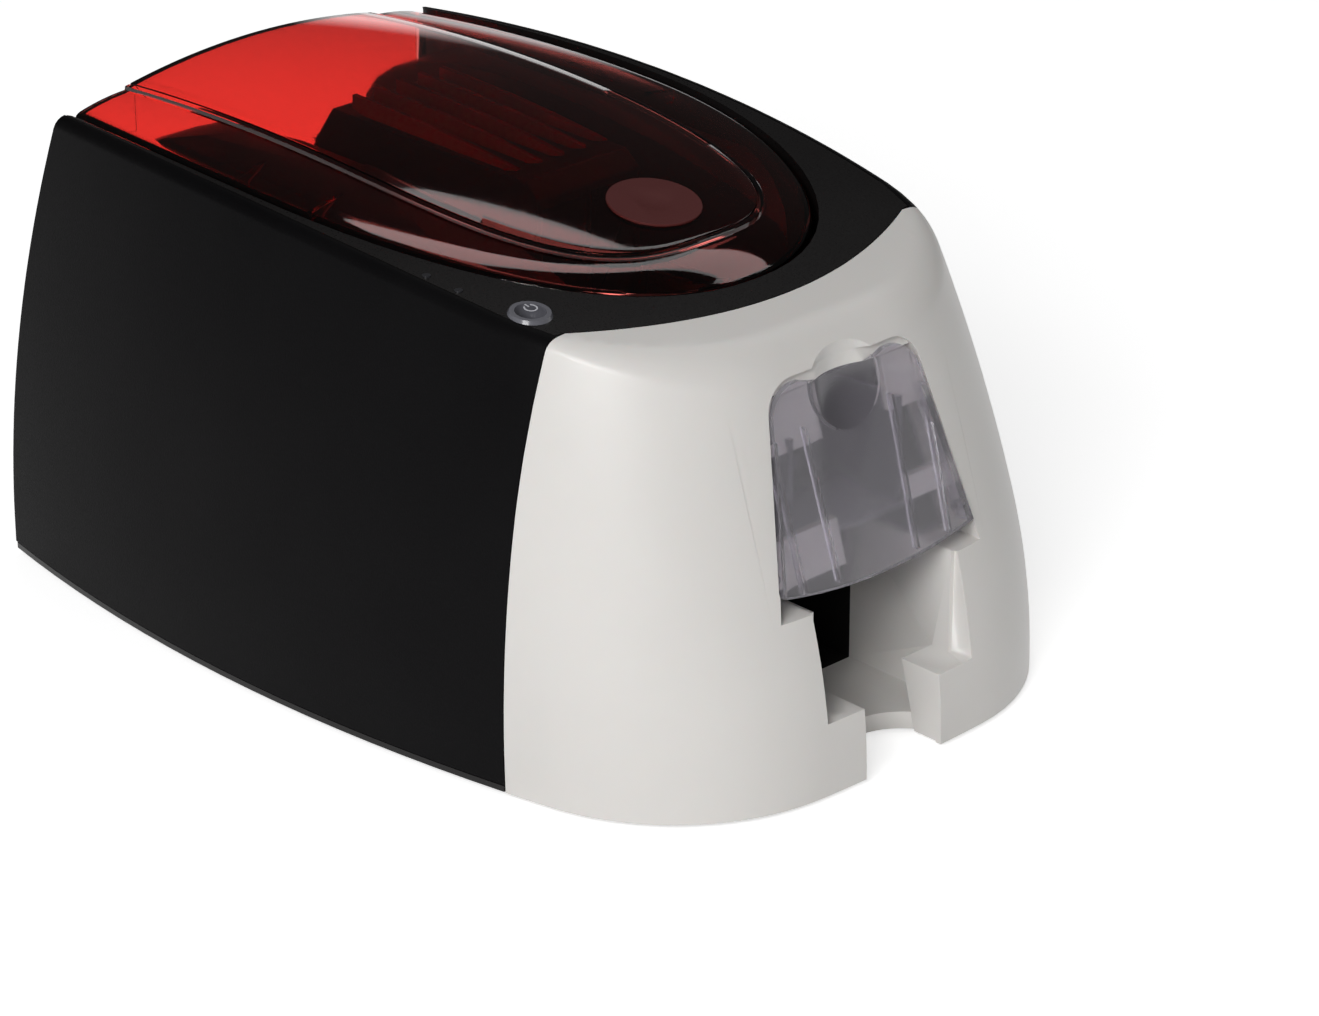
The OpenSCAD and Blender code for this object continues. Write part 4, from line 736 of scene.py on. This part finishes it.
# Width of the rounded edges of the other outer parts, in metres
EDGES = {
    "rear_panel": 0.0004,
    "thumb_disc": 0.0003,
    "feeder_cover": 0.0004,
    "left_shoulder": 0.0008,
    "right_shoulder": 0.0008,
    "head_carrier": 0.0008,
    "base_tray": 0.0004,
    "hopper_frame": 0.0005,
    "tray_liner": 0.0005,
}
skins = {node_name: smooth_skin(node_name, edge) for node_name, edge in EDGES.items()}

# The card hopper behind the cover, with painted shade: light grey on its upward faces and darker
# painted shade inside
hopper = skins["hopper_frame"].data
hopper.materials.clear()
hopper.materials.append(MATERIALS["hopper_painted_shade_light"])
hopper.materials.append(MATERIALS["hopper_painted_shade_deep"])
# Painted shade by facing: upward faces get the lighter grey, all other faces the darker one
for face in hopper.polygons:
    face.material_index = 0 if face.normal.z > 0.7 else 1

# White surface of the finger dish, carried on behind the dipped top edge of the cover
APRON_X, APRON_BACK, APRON_T, APRON_Z, APRON_H = 40.0, 3.2, 1.5, 149.0, 8.0
APRON_R = 31.5


def apron_row(x, back):
    """Points of the apron up one column, on the dish's ball or behind the front face."""
    _, ball_y, ball_z = to_mm(DISH_BALL)
    points = []
    for k in range(13):
        z = APRON_Z + APRON_H * k / 12
        y = front_y(z) + APRON_BACK
        reach = APRON_R ** 2 - x * x - (z - ball_z) ** 2
        if reach > 0:
            y = max(y, ball_y + math.sqrt(reach))
        points.append((x, y + back, z))
    return points


def build_apron(work):
    xs = [-APRON_X + 2 * APRON_X * k / 64 for k in range(65)]
    near = skin_faces(work, [apron_row(x, 0.0) for x in xs])
    far = skin_faces(work, [apron_row(x, APRON_T) for x in xs])
    for a, b in ((near[0], far[0]), (near[-1], far[-1])):
        for k in range(len(a) - 1):
            work.faces.new((a[k], a[k + 1], b[k + 1], b[k]))
    for j in (0, -1):
        for k in range(len(near) - 1):
            work.faces.new((near[k][j], near[k + 1][j], far[k + 1][j], far[k][j]))


piece("dish_apron", mesh_from("dish_apron", build_apron, 40), "front_shell", ("white_shell",))

# White guide blocks of the hopper that show through the corners of the cover: x and z of each
GUIDE_SET, GUIDE_T = 7.5, 3
GUIDE_BLOCKS = (
    ((-46.0, -11.5), (126.0, 146.5)),
    ((25.0, 46.0), (126.0, 146.5)),
    ((-52.0, -12.5), (80.0, 97.0)),
    ((26.0, 52.0), (92.5, 101.0)),
)


def build_guides(work):
    for (x0, x1), (z0, z1) in GUIDE_BLOCKS:
        columns = []
        for x in (x0, x1):
            y0, y1 = (front_y(z) + GUIDE_SET for z in (z0, z1))
            columns.append([
                (x, y0, z0), (x, y0 + GUIDE_T, z0), (x, y1 + GUIDE_T, z1), (x, y1, z1),
            ])
        build_box(work, columns)


piece(
    "hopper_guides", mesh_from("hopper_guides", build_guides, 30),
    "hopper_frame", ("white_shell",),
)


# Power sign on the button
def cap_of(node_name):
    """Middle and direction of the flat top of a node."""
    faces = nodes[node_name].data.polygons
    top = max(faces, key=lambda f: f.area if f.normal.z > 0.8 else 0.0)
    up = top.normal.copy()
    cap = [
        f for f in faces
        if f.normal.dot(up) > 0.999 and abs((f.center - top.center).dot(up)) < 1e-5
    ]
    area = sum(f.area for f in cap)
    return sum((f.center * f.area for f in cap), Vector()) / area, up


# Radii and width of the sign's line, and its foot and top above the cap, in millimetres
SIGN_IN, SIGN_OUT, SIGN_HALF, SIGN_FOOT, SIGN_TOP = 2.1, 2.7, 0.3, -0.02, 0.08


def build_sign(work):
    centre, up = cap_of("power_button")
    side = Vector((0, 1, 0)).cross(up).normalized()
    ahead = up.cross(side)

    def point(u, v, w):
        return work.verts.new(centre + (side * u + ahead * v + up * w) / 1000)

    def section(low, high):
        return (low, SIGN_FOOT), (high, SIGN_FOOT), (high, SIGN_TOP), (low, SIGN_TOP)

    arc = []
    for k in range(41):
        t = math.radians(125 + 290 * k / 40)
        c, q = math.cos(t), math.sin(t)
        arc.append([point(r * c, r * q, h) for r, h in section(SIGN_IN, SIGN_OUT)])
    close_bar(work, arc)
    stroke = section(-SIGN_HALF, SIGN_HALF)
    close_bar(work, [[point(u, v, h) for u, h in stroke] for v in (0.9, 3.2)])


piece("power_sign", mesh_from("power_sign", build_sign, 30), "power_button", ("sign_pale",))

# Camera at the photograph's viewing angle
CAMERA_PLACE = Vector((-1.1840116, -1.2882311, 0.8554411))
RIGHT = Vector((0.72025044, -0.69371413, 0.0))
UP = Vector((0.29209753, 0.30327099, 0.90703128))
BACK = Vector((-0.62922042, -0.65328968, 0.42106325))
camera = bpy.data.objects.new("camera", bpy.data.cameras.new("camera"))
scene.collection.objects.link(camera)
turned = Matrix((RIGHT, UP, BACK)).transposed().to_4x4()
camera.matrix_world = Matrix.Translation(CAMERA_PLACE) @ turned
camera.data.sensor_width = 36.0
camera.data.lens = 131.83
camera.data.clip_start = 0.05
camera.data.clip_end = 20.0
scene.camera = camera


# Floor, world and studio lights. The background is white up to the horizon and falls to
# STUDIO_DARK at DUSK_TOP, the sine of the angle above it; surfaces are lit by SKY_LIGHT.
FLOOR_GLOW = 0.60
SKY_LIGHT = 0.26
STUDIO_DARK = 0.03
DUSK_TOP = 0.09


def seen_ray(tree):
    """One for camera, mirror and see-through rays, zero for light that falls on surfaces."""
    path = tree.nodes.new("ShaderNodeLightPath")
    value = path.outputs["Is Camera Ray"]
    for kind in ("Is Glossy Ray", "Is Transmission Ray"):
        either = tree.nodes.new("ShaderNodeMath")
        either.operation = "MAXIMUM"
        tree.links.new(value, either.inputs[0])
        tree.links.new(path.outputs[kind], either.inputs[1])
        value = either.outputs["Value"]
    return value


def floor_material():
    """Pale floor: plain white to the eye and in reflections, with the shadow kept."""
    mat, tree, shader = node_material("floor_white")
    shader.inputs["Roughness"].default_value = 0.7
    spots = noise(tree, object_coords(tree), 2.0)
    tint = shade_between(tree, spots, (0.85, 0.85, 0.85), (0.87, 0.87, 0.87))
    tree.links.new(tint, shader.inputs["Base Color"])
    glow = tree.nodes.new("ShaderNodeMath")
    glow.operation = "MULTIPLY"
    glow.inputs[1].default_value = FLOOR_GLOW
    tree.links.new(seen_ray(tree), glow.inputs[0])
    shader.inputs["Emission Color"].default_value = (1, 1, 1, 1)
    tree.links.new(glow.outputs["Value"], shader.inputs["Emission Strength"])
    return mat


bpy.ops.mesh.primitive_grid_add(
    x_subdivisions=4, y_subdivisions=4, size=14.0, location=(0, 0, -0.0002)
)
floor = bpy.context.object
floor.name = "floor"
floor.data.materials.append(floor_material())

world = bpy.data.worlds.new("studio")
scene.world = world
world.use_nodes = True
tree = world.node_tree
background = tree.nodes["Background"]
background.inputs["Color"].default_value = (1, 1, 1, 1)


def blend(tree, factor, low, high):
    """Low to high as the factor goes from zero to one; low and high are numbers or sockets."""
    node = tree.nodes.new("ShaderNodeMapRange")
    tree.links.new(factor, node.inputs["Value"])
    for name, value in (("To Min", low), ("To Max", high)):
        if isinstance(value, float):
            node.inputs[name].default_value = value
        else:
            tree.links.new(value, node.inputs[name])
    return node


# Camera, mirror and see-through rays all see the same background
direction = tree.nodes.new("ShaderNodeSeparateXYZ")
sky_coords = tree.nodes.new("ShaderNodeTexCoord")
tree.links.new(sky_coords.outputs["Generated"], direction.inputs["Vector"])
dusk = blend(tree, direction.outputs["Z"], 1.0, STUDIO_DARK)
dusk.inputs["From Min"].default_value = 0.0
dusk.inputs["From Max"].default_value = DUSK_TOP
plain = blend(tree, seen_ray(tree), SKY_LIGHT, dusk.outputs["Result"])
tree.links.new(plain.outputs["Result"], background.inputs["Strength"])


def softbox(name, place, target, width, height, watts):
    lamp = bpy.data.lights.new(name, "AREA")
    lamp.shape = "RECTANGLE"
    lamp.size = width
    lamp.size_y = height
    lamp.energy = watts
    box = bpy.data.objects.new(name, lamp)
    box.location = place
    box.rotation_euler = (Vector(target) - Vector(place)).to_track_quat("-Z", "Y").to_euler()
    scene.collection.objects.link(box)


softbox("key", (-1.85, -1.05, 1.35), (0, 0, 0.1), 1.2, 0.9, 38)
softbox("rear_strip", (1.44, 0.765, 2.28), (0, 0, 0.19), 2.3, 0.56, 7.2)

scene.view_settings.view_transform = "Standard"
